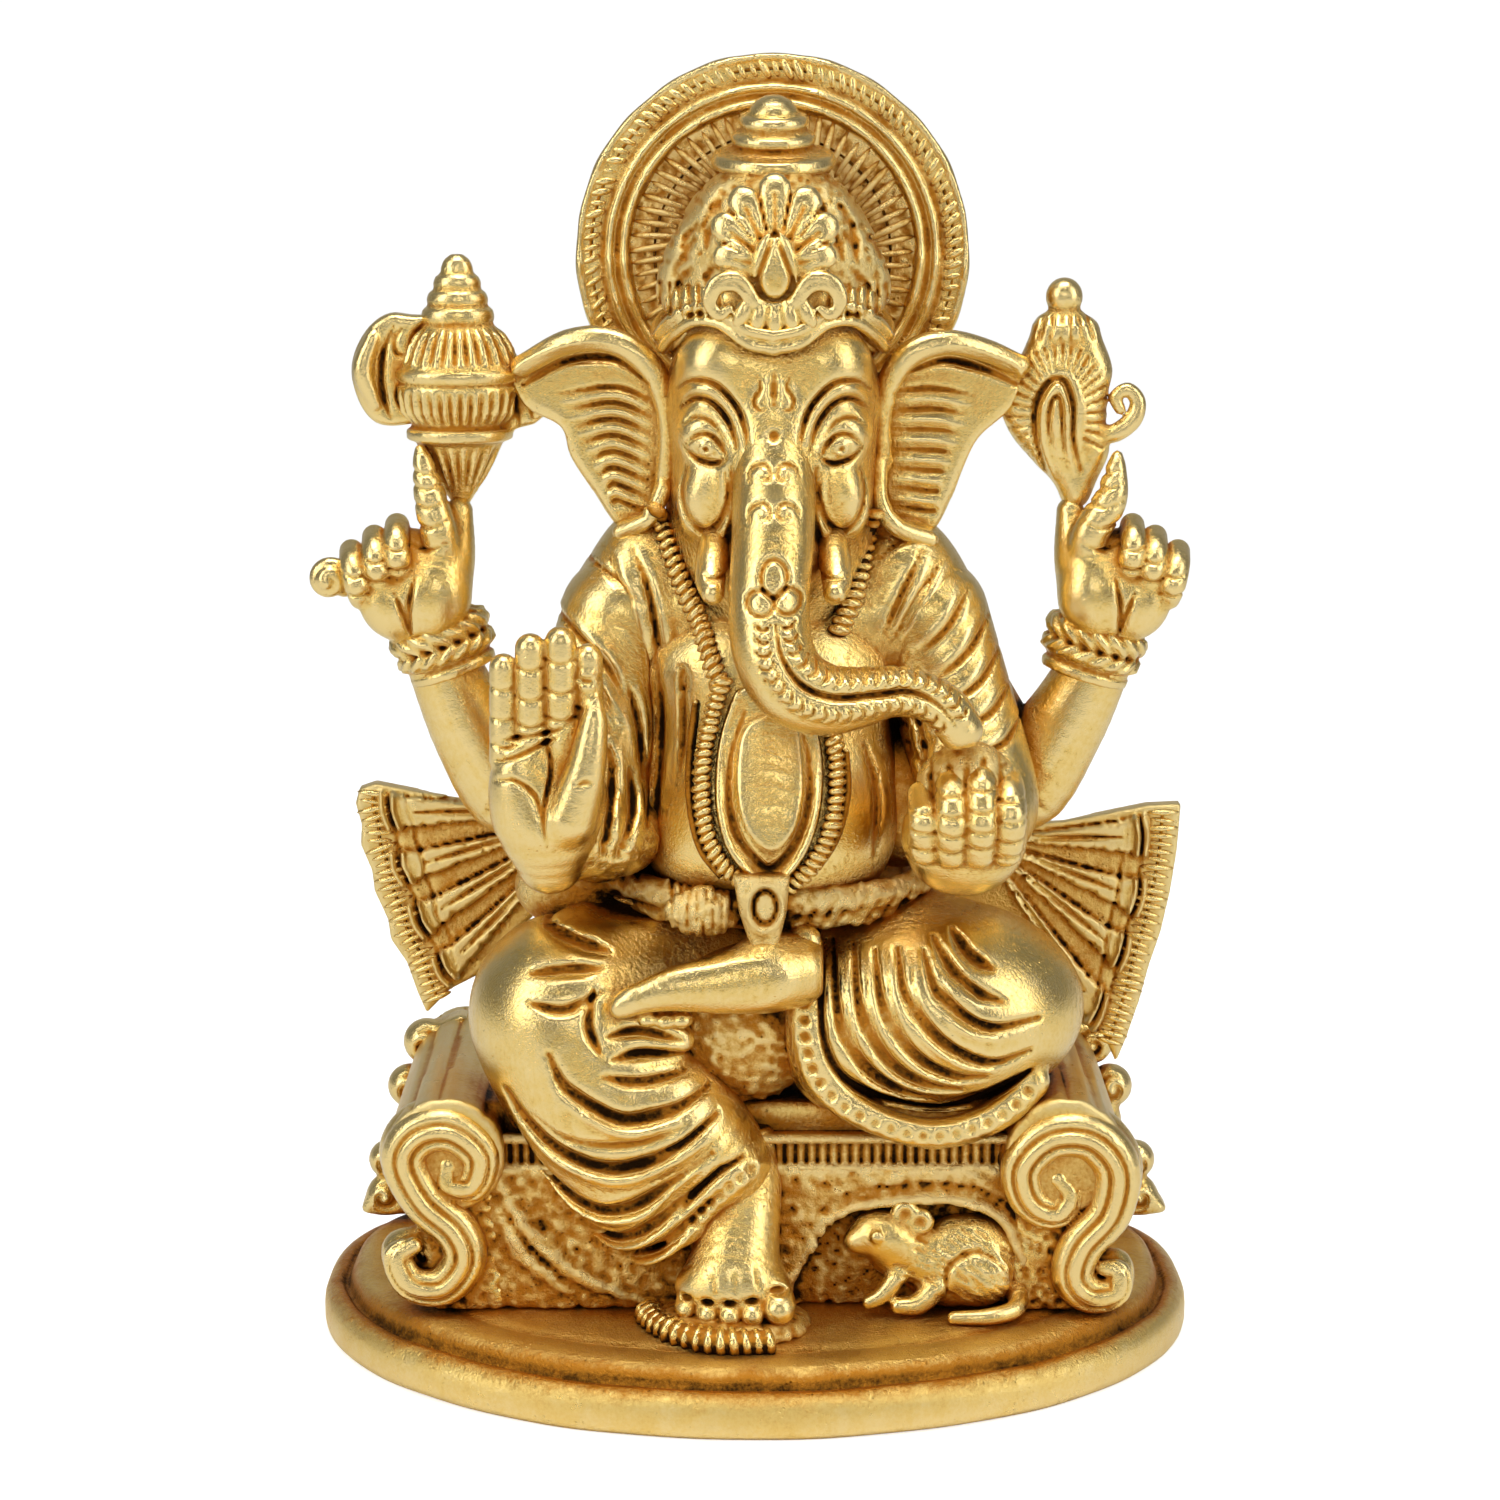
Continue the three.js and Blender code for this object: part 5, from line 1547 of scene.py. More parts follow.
def buildCrest():
    # a fan of grooved petals round a drop-shaped stone, with a leaf scroll on each side
    cx, cz = crest["middle"]
    clay = Clay((-10, -22, 140), (15, -5, 165), clayGrain["fine"])
    face = lambda z: crest["front"] + max(0, z - cz) * 0.4 + max(0, cz - z) * 0.1
    for angle, length in crest["lobes"]:
        c, s = cos(radians(angle)), sin(radians(angle))
        spread = [(3.0, 1.7), (length * 0.62, 2.5), (length - 2.4, 2.6), (length - 1.2, 1.9)]
        clay.add(tube([
            (cx + t * c, face(cz + t * s) + 1.5, cz + t * s, w)
            for t, w in spread
        ], 4, flat=(1, 0.5)), 0.2)
    for angle, length in crest["lobes"]:
        c, s = cos(radians(angle)), sin(radians(angle))
        clay.draw([[
            (cx + 3.4 * c, cz + 3.4 * s), (cx + (length - 2.2) * c, cz + (length - 2.2) * s)
        ]], 0.7, 0.85, until=-5, steps=2)
        for turn in (-13, 13):
            c, s = cos(radians(angle + turn)), sin(radians(angle + turn))
            clay.draw([[
                (cx + 5 * c, cz + 5 * s), (cx + length * c, cz + length * s)
            ]], 0.4, 0.55, until=-5, steps=2)
    for side in (-1, 1):
        leaf = [
            (2.7, 146.8, 0.9), (4.7, 149.2, 1.35), (7.3, 149, 1.3), (8.4, 146.8, 1), (7.2, 145, 0.8),
            (5.9, 145.9, 0.6)
        ]
        clay.add(tube([(cx + side * x, face(z) + 0.7, z, r) for x, z, r in leaf], 5, flat=(1, 0.6)), 0.2)
        clay.draw([[(cx + side * x, z) for x, z, r in leaf[:3]]], 0.4, 0.5, until=-5)
    for i in range(5):
        x = (i - 2) * 2.05
        clay.add(ball(
            (cx + x, face(144) + 0.9, 144.4 + abs(i - 2) * 0.45), (1.2, 1.1, 2.3), (0, (i - 2) * -13, 0)
        ), 0.2)
    clay.add(ball((cx, face(cz) + 1.4, cz), (3, 1.3, 4.8)), 0.3)
    drop = [
        (cx, cz + 4.4), (cx + 1.2, cz + 1.6), (cx + 2.2, cz - 1.4), (cx + 1.4, cz - 3.4), (cx, cz - 4),
        (cx - 1.4, cz - 3.4), (cx - 2.2, cz - 1.4), (cx - 1.2, cz + 1.6)
    ]
    clay.draw([drop], 0.5, 0.8, until=-5, closed=True, steps=4)
    clay.add(ball((cx, -9.8, 151), (7.6, 4.4, 9)), 0.5)
    fire(clay, "crownCrest", ["crown_crest"], buffedBrass)


def buildFinial():
    a, b = low("crown_finial"), high("crown_finial")
    m = (a + b) / 2
    clay = Clay((a[0] - 2, a[1] - 4, a[2] - 4), (b[0] + 2, b[1] + 2, b[2] + 1.5), clayGrain["fine"])
    profile = [
        (6.6, -4), (5.8, -0.6), (6, 0.8), (7.9, 1.5), (8.4, 2.4), (8, 3.5), (6, 4), (5.2, 4.5), (5.7, 5.2),
        (5.6, 6), (4.6, 6.5), (4.3, 7), (4.7, 7.6), (4.4, 8.4), (3.4, 8.8), (3.2, 9.4), (2.4, 10.4),
        (1, 11.1)
    ]
    clay.add(lathe((m[0], m[1] - 1.4, 161.6), profile, leanX=9))
    fire(clay, "crownFinial", ["crown_finial"], buffedBrass)


halo = {"outer": 27.0, "ringMiddle": 21.4, "ringGap": 1.9}


def buildHalo():
    cx, cz = axisX, float(mid("halo_rim")[2])
    a, b = low("halo_rim"), high("halo_rim")
    front = a[1]

    def plate(name, inner, outer, thick, nodes, metal, rough):
        clay = Clay(
            (cx - outer - 1, front - 1.4, cz - outer - 1), (cx + outer + 1, b[1] + 0.5, cz + outer + 1),
            clayGrain["plain"]
        )
        r = lambda x, z: np.sqrt((x - cx) ** 2 + (z - cz) ** 2)

        def body(x, y, z):
            flat = r(x, z)
            edge = np.maximum(flat - outer, inner - flat) + 0.5
            deep = np.abs(y - (front + thick / 2 + (3.4 - thick) * 0.5)) - thick / 2 + 0.5
            return roundedEdge(edge, deep, 0.5)

        clay.add((clay.low, clay.low + 200, body))
        if rough:
            rng = np.random.default_rng(61)
            spots = [
                (cx + q * cos(t), cz + q * sin(t))
                for q, t in zip(rng.uniform(0, outer, 900), rng.uniform(0, 2 * pi, 900))
            ]
            clay.dots(spots, 0.7, 0.3, until=front + 2)
        else:
            ring = lambda x, z, at: np.exp(-(((r(x, z) - at) / 0.55) ** 2))

            def lines(x, z):
                raised = ring(x, z, 20.3) + ring(x, z, 22.3) + ring(x, z, 26.6)
                return raised - 0.7 * ring(x, z, 21.3) - 0.7 * ring(x, z, 23.3)

            clay.relief(lambda x, y, z: np.where(y < front + 2, -0.5 * lines(x, z), 0))
            clay.relief(
                lambda x, y, z: 0.12 * np.sin(9 * np.arctan2(z - cz, x - cx))
                + 0.1 * np.sin(23 * np.arctan2(z - cz, x - cx))
            )
        fire(clay, name, nodes, metal)

    plate("haloPlate", 0.0, 20.0, 2.6, ["halo_disc"], grainyBrass, True)
    plate("haloRim", 19.4, halo["outer"] - 0.3, 3.4, ["halo_rim"], buffedBrass, False)


buildCrown()
buildCrest()
buildFinial()
buildHalo()
print("crown and halo made")


# back arms and what they hold
def buildBackArm(name, side):
    clay = Clay(
        (-52, -5, 66) if side < 0 else (14, -5, 66), (-10, 20, 110) if side < 0 else (55, 20, 110),
        clayGrain["broad"]
    )
    if side < 0:
        path = [
            (-18, 8, 100, 8), (-27, 9, 84, 7.6), (-33, 7, 77, 7), (-38.6, 5.6, 85, 6.1),
            (-43.4, 4.6, 96, 4.9), (-45, 4.2, 100, 4.6)
        ]
    else:
        path = [
            (22, 8, 100, 8), (31, 9, 85, 7.6), (36.6, 7, 78, 7), (42.4, 5.6, 86, 6), (46.4, 4.6, 94, 5),
            (48.4, 4.2, 100, 4.6)
        ]
    clay.add(tube(path))
    x = path[2][0]
    clay.draw([[(x + side * 5, 74), (x + side * 1, 78), (x - side * 4, 80)]], 0.8, 0.4)
    fire(clay, name, ["arm_right_back" if side < 0 else "arm_left_back"], buffedBrass)


def buildBracelet(name, nodeName, side):
    at, lean = mid(nodeName) + (0, 0, 1.0), -20 if side < 0 else 17
    clay = Clay(at - (10, 9, 8), at + (10, 9, 8), clayGrain["fine"])
    bands = [
        (5.2, -4.6), (6.1, -4.4), (6.2, -3.3), (5.6, -2.8), (6.2, -2.3), (7.0, -1.6), (6.9, -0.4),
        (6.1, 0.1), (6.8, 0.5), (7.3, 1.5), (6.9, 2.7), (5.8, 3.1), (5.4, 3.6)
    ]
    clay.add(lathe(at, bands, squash=0.92, leanY=lean))
    turn = radians(lean)

    def twist(x, y, z):
        dx, dy, dz = x - at[0], y - at[1], z - at[2]
        u = dx * cos(turn) - dz * sin(turn)
        h = dx * sin(turn) + dz * cos(turn)
        gate = np.clip((h + 2.4) * 2, 0, 1)
        slope = np.where(h > 0.1, 1.9, -1.9)
        return 0.22 * gate * np.sin(16 * np.arctan2(dy, u) + slope * h * 1.4)

    clay.relief(twist)
    fire(clay, name, [nodeName], buffedBrass)


def buildBackHand(name, nodeName, side):
    # a fist seen from the palm side, first finger up against what it holds
    x = -46.6 if side < 0 else 49.2
    y = 2.0
    out = side
    clay = Clay((x - 13, y - 9, 95), (x + 13, y + 7, 129), clayGrain["fine"])
    clay.add(tube([
        (x - out * 1.4, y + 1.6, 98, 4.2), (x - out * 0.2, y + 0.8, 104, 5.4),
        (x + out * 0.4, y + 0.4, 109, 5.6)
    ], 4, flat=(1, 0.72)))
    clay.add(ball((x - out * 3.2, y - 1.4, 106.4), (3.1, 3.2, 6.6), (0, out * -6, 0)), 1.6)
    clay.add(ball((x + out * 3.2, y - 1.6, 104.6), (4.2, 3.4, 5.2), (0, out * 24, 0)), 2)
    clay.add(tube([
        (x - out * 4.2, y - 0.4, 105, 3.4), (x - out * 5.4, y + 0.4, 110.6, 3),
        (x - out * 6.2, y + 1.4, 116.8, 1.9)
    ]), 2)
    clay.add(ball((x - out * 2.4, y - 2, 105.4), (5, 3.4, 5)), 2)
    fingers = ((8.0, 111.4, 22), (5.0, 113.4, 15), (2.0, 115, 8))
    for dx, top, tilt in fingers:
        fx = x + out * dx * 0.98
        bend = out * tan(radians(tilt))
        clay.add(tube([
            (fx + bend * 1.6, y + 0.4, top, 1.7), (fx + bend * 0.6, y - 2.6, top - 1.4, 1.75),
            (fx - bend * 1.2, y - 3.8, top - 3.9, 1.85), (fx - bend * 2, y - 2.8, top - 5.9, 1.6)
        ], 5), 0.3)
        for k in (2.3, 4.9):
            clay.draw([[
                (fx - 1.6 - bend * k * 0.3, top - k), (fx - bend * k * 0.3, top - k - 0.5),
                (fx + 1.6 - bend * k * 0.3, top - k)
            ]], 0.4, 0.5, until=y, steps=3)
    tip = 125.4 if side < 0 else 124.6
    reach = 2.4 if side < 0 else 0.2
    first = [
        (x - out * 4.2, y - 0.6, 109.4, 2.7), (x - out * 3.8, y - 1.6, 114, 2.6),
        (x - out * (1 + reach * 0.7), y - 1.6, 118.6, 2.3),
        (x - out * (0.3 + reach * 0.6), y - 1.2, tip - 2, 1.5),
        (x - out * (0.1 + reach * 0.5), y - 0.8, tip, 0.8)
    ]
    clay.add(tube(first), 0.4)
    for z in (112.6, 115.6, 118.4, 120.8, 122.8):
        clay.draw([[
            (x - out * 2.2 - 2.8, z + 0.5), (x - out * 2.2, z - 0.5), (x - out * 2.2 + 2.8, z + 0.5)
        ]], 0.42, 0.4, until=y + 1, steps=3)
    clay.draw([
        [(x - out * 0.4, 108.4), (x + out * 0.4, 104), (x + out * 0.2, 100.6)],
        [(x + out * 2.2, 106.4), (x + out * 0.9, 103), (x + out * 0.2, 100.4)]
    ], 0.6, 0.8, until=y)
    fire(clay, name, [nodeName], buffedBrass)


def buildMace():
    at = mid("lotus_mace")
    clay = Clay((at[0] - 13, at[1] - 9, 115), (at[0] + 14, at[1] + 9, 154), clayGrain["fine"])
    profile = [
        (1.0, 117.4), (2.0, 119), (5.4, 125.2), (6.0, 126.2), (7.2, 126.6), (7.3, 127.8), (6.4, 128.4),
        (8.0, 130.6), (8.6, 133.8), (8.2, 134.3), (8.7, 134.8), (8.8, 135.8), (8.2, 136.4), (7.9, 137.2),
        (6.2, 140.6), (4.7, 142.2), (5.0, 143.0), (4.8, 144.0), (4.0, 144.7), (4.2, 145.4), (3.9, 146.3),
        (3.1, 146.9), (3.3, 147.6), (2.9, 148.5), (2.2, 149), (2.2, 149.6), (1.8, 150.7), (0.8, 151.5)
    ]
    clay.add(lathe((at[0] + 0.6, at[1], 0), profile, squash=0.82))

    def flutes(x, y, z):
        turn = np.arctan2(y - at[1], x - at[0] - 0.6)
        drum = np.clip(1 - np.abs(z - 131.2) / 2.2, 0, 1) ** 0.4
        bell = np.clip(1 - np.abs(z - 139.2) / 2.4, 0, 1) ** 0.4
        cup = np.clip(1 - np.abs(z - 122.4) / 3.6, 0, 1) ** 0.5
        lobes = 0.5 * drum * np.cos(30 * turn) + 0.5 * bell * np.cos(24 * turn)
        return lobes + 0.45 * cup * np.cos(16 * turn)

    clay.relief(flutes)
    web = [(-34, 134.6), (-26, 134), (-27, 131), (-30, 128.6), (-34, 127.6)]
    clay.add(slab(web, 3, 6.4, 1), 0.8)
    clay.draw([
        [(-32.6, 133), (-32, 128.6)], [(-31, 133.4), (-30.2, 129.4)], [(-29.4, 133.4), (-28.4, 130.4)]
    ], 0.5, 0.6, until=5, steps=2)
    fire(clay, "lotusMace", ["lotus_mace"], buffedBrass)


def buildAxe():
    clay = Clay((-57, 0, 124), (-42, 9, 147), clayGrain["fine"])
    edge = [
        (-44, 143), (-46.6, 143.4), (-49.4, 143.6), (-52, 142), (-54, 138.9), (-54.7, 135.6), (-53.9, 132),
        (-52.3, 129.4), (-50.2, 128.4), (-47, 128.6), (-45, 129.4), (-46.8, 131.4), (-46, 136),
        (-46.4, 140.4)
    ]
    clay.add(slab(edge, 2.8, 6.4, 1.2, smooth=4))
    clay.add(tube([(-51.6, 3, 140.4, 1.0), (-53, 2.8, 136, 1.4), (-51.4, 3, 131.4, 0.9)]), 0.4)
    clay.draw([[
        (-48.6, 142.2), (-50.2, 138.4), (-50.6, 135), (-50.2, 132), (-49.4, 129.6)
    ]], 0.7, 0.9, until=5)
    clay.draw([
        [(-47, 142), (-48.6, 140.6), (-48.6, 138.6), (-47.4, 138)],
        [(-47, 130), (-48.4, 132), (-48.2, 134.4)]
    ], 0.5, 0.6, until=5)
    fire(clay, "axeBlade", ["axe_blade"], buffedBrass)


def buildNoose():
    at = low("noose_end")
    x, z = at[0] + 3.3, 107.8
    clay = Clay((at[0] - 1, -4, 102), (-49, 8, 114), clayGrain["fine"])
    loop = [
        (x + r * cos(t), 1.4 - i * 0.08, z + r * sin(t), 1.1)
        for i, (t, r) in enumerate(zip(np.linspace(-0.6, 3.2 * pi, 20), np.linspace(2.3, 0.5, 20)))
    ]
    clay.add(tube(loop, 3))
    clay.add(tube([(x + 1.8, 1.6, z - 1.4, 1.1), (x + 3.8, 1.8, z - 0.6, 1.3), (-51, 2.4, 109, 1.5)]), 0.6)
    clay.add(ball((x, 2.6, z), (2.6, 1.2, 2.6)), 0.3)
    fire(clay, "nooseEnd", ["noose_end"], buffedBrass)


def buildConch():
    clay = Clay((31, -3, 115), (55, 12, 151), clayGrain["fine"])
    edge = [
        (39, 143.4), (37.6, 141.4), (36, 137.6), (34, 134.4), (33.4, 130.6), (35, 126.8), (38, 123.6),
        (40.8, 120.4), (42.4, 117.4), (45, 117.6), (46.6, 121), (48.2, 125), (47.6, 128.6), (47.6, 132.6),
        (48.4, 136), (47, 140), (45.4, 143)
    ]
    clay.add(slab(edge, 1.6, 7.4, 2.4, smooth=4))
    clay.add(ball((41.6, 4.4, 132), (5.4, 4.6, 9.4)), 2)
    clay.add(ball((41.7, 4.4, 145.8), (2.5, 2.4, 2.6)), 0.2)
    clay.add(lathe(
        (41.8, 4.4, 0), [(3.4, 139.6), (4.5, 140.6), (4.4, 142), (3.2, 143.2), (2, 144.2)], squash=0.8
    ), 0.5)
    collar = [[(41.8 + d * 0.9, 143.2), (41.8 + d * 1.15, 140.4)] for d in (-3.2, -1.9, -0.6, 0.6, 1.9, 3.2)]
    clay.draw(collar, 0.45, 0.6, until=4, steps=2)
    leaf = [
        (39.8, 121.6), (38, 126.6), (37.8, 131.4), (39.4, 134.6), (41.6, 134.8), (42.8, 131.6), (43, 127),
        (44.2, 122.6)
    ]
    vein = [(40.2, 125.6), (39.6, 129), (40, 132.2), (41, 132.4), (41.4, 129), (41.8, 125)]
    clay.draw([leaf], 0.7, 0.9, until=4)
    clay.draw([[(x + (0.9 if x < 41 else -0.9), z - 0.4) for x, z in leaf]], 0.7, -0.5, until=4)
    clay.draw([vein], 0.5, 0.6, until=4)
    feathers = []
    for t in np.linspace(0.02, 0.98, 26):
        a = pi * (1.32 - 1.5 * t)
        r0, r1 = 4.8, 7.4
        feathers.append([
            (41 + r0 * cos(a) * 0.8, 130 + r0 * 1.35 * sin(a)),
            (41 + r1 * cos(a) * 0.92, 130 + r1 * 1.3 * sin(a))
        ])
    clay.draw(feathers, 0.42, 0.6, until=4, steps=2)
    clay.add(tube([
        (46.8, 3.4, 127.2, 1.2), (49, 3, 127.6, 1.3), (51.2, 3, 129.4, 1.3), (51.8, 3, 131.8, 1.1),
        (50.4, 3, 133.4, 1), (48.8, 3, 132.4, 0.9), (49.4, 3, 130.8, 0.8)
    ], 5), 0.5)
    fire(clay, "conchShell", ["conch"], buffedBrass)


buildBackArm("backArmRight", -1)
buildBackArm("backArmLeft", 1)
buildBracelet("braceletRight", "bracelet_right_back", -1)
buildBracelet("braceletLeft", "bracelet_left_back", 1)
buildBackHand("backHandRight", "hand_right_back", -1)
buildBackHand("backHandLeft", "hand_left_back", 1)
buildMace()
buildAxe()
buildNoose()
buildConch()
print("back arms made")


# rows of beads, ribs and petals along a path, laid by geometry nodes
def makeRowTree():
    tree = bpy.data.node_groups.new("beadRow", "GeometryNodeTree")
    tree.interface.new_socket("Path", in_out="INPUT", socket_type="NodeSocketGeometry")
    for label, value in (
        ("Gap", 0.001), ("Across", 0.001), ("Deep", 0.0005), ("Along", 0.0005), ("Tilt", 0.0),
        ("Core", 0.0004), ("Uneven", 0.1)
    ):
        tree.interface.new_socket(label, in_out="INPUT", socket_type="NodeSocketFloat").default_value = value
    tree.interface.new_socket("Seed", in_out="INPUT", socket_type="NodeSocketInt").default_value = 1
    tree.interface.new_socket("Finish", in_out="INPUT", socket_type="NodeSocketMaterial")
    tree.interface.new_socket("Row", in_out="OUTPUT", socket_type="NodeSocketGeometry")
    gin, gout = tree.nodes.new("NodeGroupInput").outputs, tree.nodes.new("NodeGroupOutput")

    def made(kind, values=None, output=0, **settings):
        return node(tree, kind, values, **settings).outputs[output]

    # stores a hollow level that darkens the colour
    def stainedAndShaded(geometry, level):
        values = {"Geometry": geometry, "Name": "hollow", "Value": level}
        return made("GeometryNodeStoreNamedAttribute", values, data_type="FLOAT")

    curve = made("GeometryNodeMeshToCurve", {"Mesh": gin["Path"]})
    spaced = made("GeometryNodeResampleCurve", {"Curve": curve, "Length": gin["Gap"]}, mode="LENGTH")
    tangent = made("GeometryNodeInputTangent")
    facing = made(
        "GeometryNodeInputNamedAttribute", {"Name": "facing"}, "Attribute", data_type="FLOAT_VECTOR"
    )
    axes = {"Primary Axis": tangent, "Secondary Axis": facing}
    stand = made("FunctionNodeAxesToRotation", axes, primary_axis="Z", secondary_axis="Y")
    chance = made("FunctionNodeRandomValue", {2: -1.0, 3: 1.0, "Seed": gin["Seed"]}, 1, data_type="FLOAT")
    size = sums(tree, "MULTIPLY_ADD", chance, gin["Uneven"], 1.0)
    lean = sums(tree, "MULTIPLY_ADD", chance, sums(tree, "MULTIPLY", gin["Uneven"], 0.6), gin["Tilt"])
    swing = made("FunctionNodeEulerToRotation", {"Euler": made("ShaderNodeCombineXYZ", {"Y": lean})})
    both = {"Rotation": stand, "Rotate By": swing}
    turned = made("FunctionNodeRotateRotation", both, rotation_space="LOCAL")
    bead = made("GeometryNodeMeshUVSphere", {"Segments": 8, "Rings": 6, "Radius": 1.0})
    place = made("ShaderNodeSeparateXYZ", {0: made("GeometryNodeInputPosition")}, "Y")
    # each bead darker on its back, towards what it lies on, and the hidden cord darker still: painted shade
    # under and between the beads, as well as patina
    bead = stainedAndShaded(bead, sums(tree, "MULTIPLY_ADD", place, -0.34, 0.22))
    spread = made("ShaderNodeCombineXYZ", {"X": gin["Across"], "Y": gin["Deep"], "Z": gin["Along"]})
    scale = made("ShaderNodeVectorMath", {0: spread, "Scale": size}, operation="SCALE")
    laid = {"Points": spaced, "Instance": bead, "Rotation": turned, "Scale": scale}
    beads = made("GeometryNodeInstanceOnPoints", laid)
    ring = made("GeometryNodeCurvePrimitiveCircle", {"Resolution": 8, "Radius": gin["Core"]})
    cord = {"Curve": spaced, "Profile Curve": ring, "Fill Caps": True}
    core = stainedAndShaded(made("GeometryNodeCurveToMesh", cord), 0.42)
    whole = node(tree, "GeometryNodeJoinGeometry")
    tree.links.new(beads, whole.inputs[0])
    tree.links.new(core, whole.inputs[0])
    real = made(
        "GeometryNodeRealizeInstances", {0: made("GeometryNodeSetShadeSmooth", {0: whole.outputs[0]})}
    )
    tree.links.new(made(
        "GeometryNodeSetMaterial", {"Geometry": real, "Material": gin["Finish"]}
    ), gout.inputs["Row"])
    return tree


rowTree = makeRowTree()


def layRow(name, paths, sizes, nodes, material):
    # paths: (points, facings) in millimetres; sizes: the tree's inputs in millimetres, Tilt in degrees
    mesh = bpy.data.meshes.new(name + "Path")
    points, edges, facings = [], [], []
    for path, facing in paths:
        closed = np.allclose(path[0], path[-1])
        path, facing = (path[:-1], facing[:-1]) if closed else (path, facing)
        first, n = len(points), len(path)
        points += [tuple(p * 0.001) for p in path]
        facings += [tuple(f) for f in facing]
        edges += [(first + i, first + (i + 1) % n) for i in range(n if closed else n - 1)]
    mesh.from_pydata(points, edges, [])
    mesh.attributes.new("facing", "FLOAT_VECTOR", "POINT").data.foreach_set(
        "vector", np.array(facings, "f").ravel()
    )
    guide = placed(name + "Path", mesh)
    lay = guide.modifiers.new("row", "NODES")
    lay.node_group = rowTree
    sockets = {item.name: item.identifier for item in rowTree.interface.items_tree if item.in_out == "INPUT"}
    for key, value in sizes.items():
        scale = 1 if key in ("Uneven", "Seed") else radians(1) if key == "Tilt" else 0.001
        lay[sockets[key]] = value * scale if scale != 1 else value
    lay[sockets["Finish"]] = material
    made = bpy.data.meshes.new_from_object(guide.evaluated_get(bpy.context.evaluated_depsgraph_get()))
    guide.modifiers.remove(lay)
    bpy.data.objects.remove(guide)
    made.name = name
    obj = placed(name, made)
    print(name, len(made.polygons), "faces")
    return finish(obj, nodes, material)


def frontAt(names, x, z):
    # where a ray from the front first meets the named clays
    best = np.full(len(x), 99.0)
    for name in names:
        clay = clays[name]
        i = np.round((x - clay.low[0]) / clay.voxel).astype(int)
        k = np.round((z - clay.low[2]) / clay.voxel).astype(int)
        ok = (i >= 0) & (i < clay.field.shape[0]) & (k >= 0) & (k < clay.field.shape[2])
        line = clay.field[np.clip(i, 0, clay.field.shape[0] - 1), :, np.clip(k, 0, clay.field.shape[2] - 1)]
        first = np.argmax(line < 0, axis=1)
        hit = ok & (first > 0)
        row = np.arange(len(x))
        a, b = line[row, first - 1], line[row, first]
        y = clay.low[1] + (first - b / np.where(np.abs(b - a) < 1e-6, 1, b - a)) * clay.voxel
        best = np.where(hit, np.minimum(best, y), best)
    return best


def settle(names, path, lift=0.0):
    # lays an x-z path on the front of the named clays; returns points and outward directions
    even = 5
    x, z = smoothPath(path, 8)[:, :2].T
    y = frontAt(names, x, z)
    y = np.where(y > 90, np.median(y), y)
    kernel = np.ones(even) / even
    y = np.convolve(np.pad(y, even // 2, "edge"), kernel, "valid")
    steepest = 1.2
    slopeX = np.clip((frontAt(names, x + 1, z) - frontAt(names, x - 1, z)) / 2, -steepest, steepest)
    slopeZ = np.clip((frontAt(names, x, z + 1) - frontAt(names, x, z - 1)) / 2, -steepest, steepest)
    facing = np.stack([slopeX, -np.ones(len(x)), slopeZ], 1)
    broad = np.ones(2 * even + 1) / (2 * even + 1)
    facing = np.stack([np.convolve(np.pad(f, even, "edge"), broad, "valid") for f in facing.T], 1)
    facing /= np.linalg.norm(facing, axis=1)[:, None]
    return np.stack([x, y, z], 1) + facing * lift, facing


def flatRow(points, y):
    # a path standing in one x-z plane
    p = np.array([(x, y, z) for x, z in points], float)
    return p, np.tile((0.0, -1.0, 0.0), (len(p), 1))


def circleRow(cx, cz, r, y):
    t = np.linspace(0, 2 * pi, 241)
    return flatRow(list(zip(cx + r * np.cos(t), cz + r * np.sin(t))), y)


haloRows = {
    "petals": {
        "radius": 24.9, "Gap": 1.55, "Across": 1.45, "Along": 0.5, "Deep": 0.55, "Tilt": 24, "Core": 0.25,
        "Uneven": 0.2, "Seed": 3
    },
    "rays": {
        "radius": 16.2, "Gap": 1.62, "Across": 3.6, "Along": 0.5, "Deep": 0.75, "Tilt": 8, "Core": 0.2,
        "Uneven": 0.16, "Seed": 8
    },
}


def layHalo():
    cx, cz = axisX, float(mid("halo_rim")[2])
    front = float(low("halo_rim")[1])
    for name, lift, nodeName, metal in (
        ("petals", 0.1, "halo_rim", buffedBrass), ("rays", 0.5, "halo_disc", grainyBrass)
    ):
        sizes = dict(haloRows[name])
        radius = sizes.pop("radius")
        layRow(
            "halo" + name.title(), [circleRow(cx, cz, radius, front + lift)], sizes, [nodeName], metal,
        )


layHalo()
print("halo rows laid")


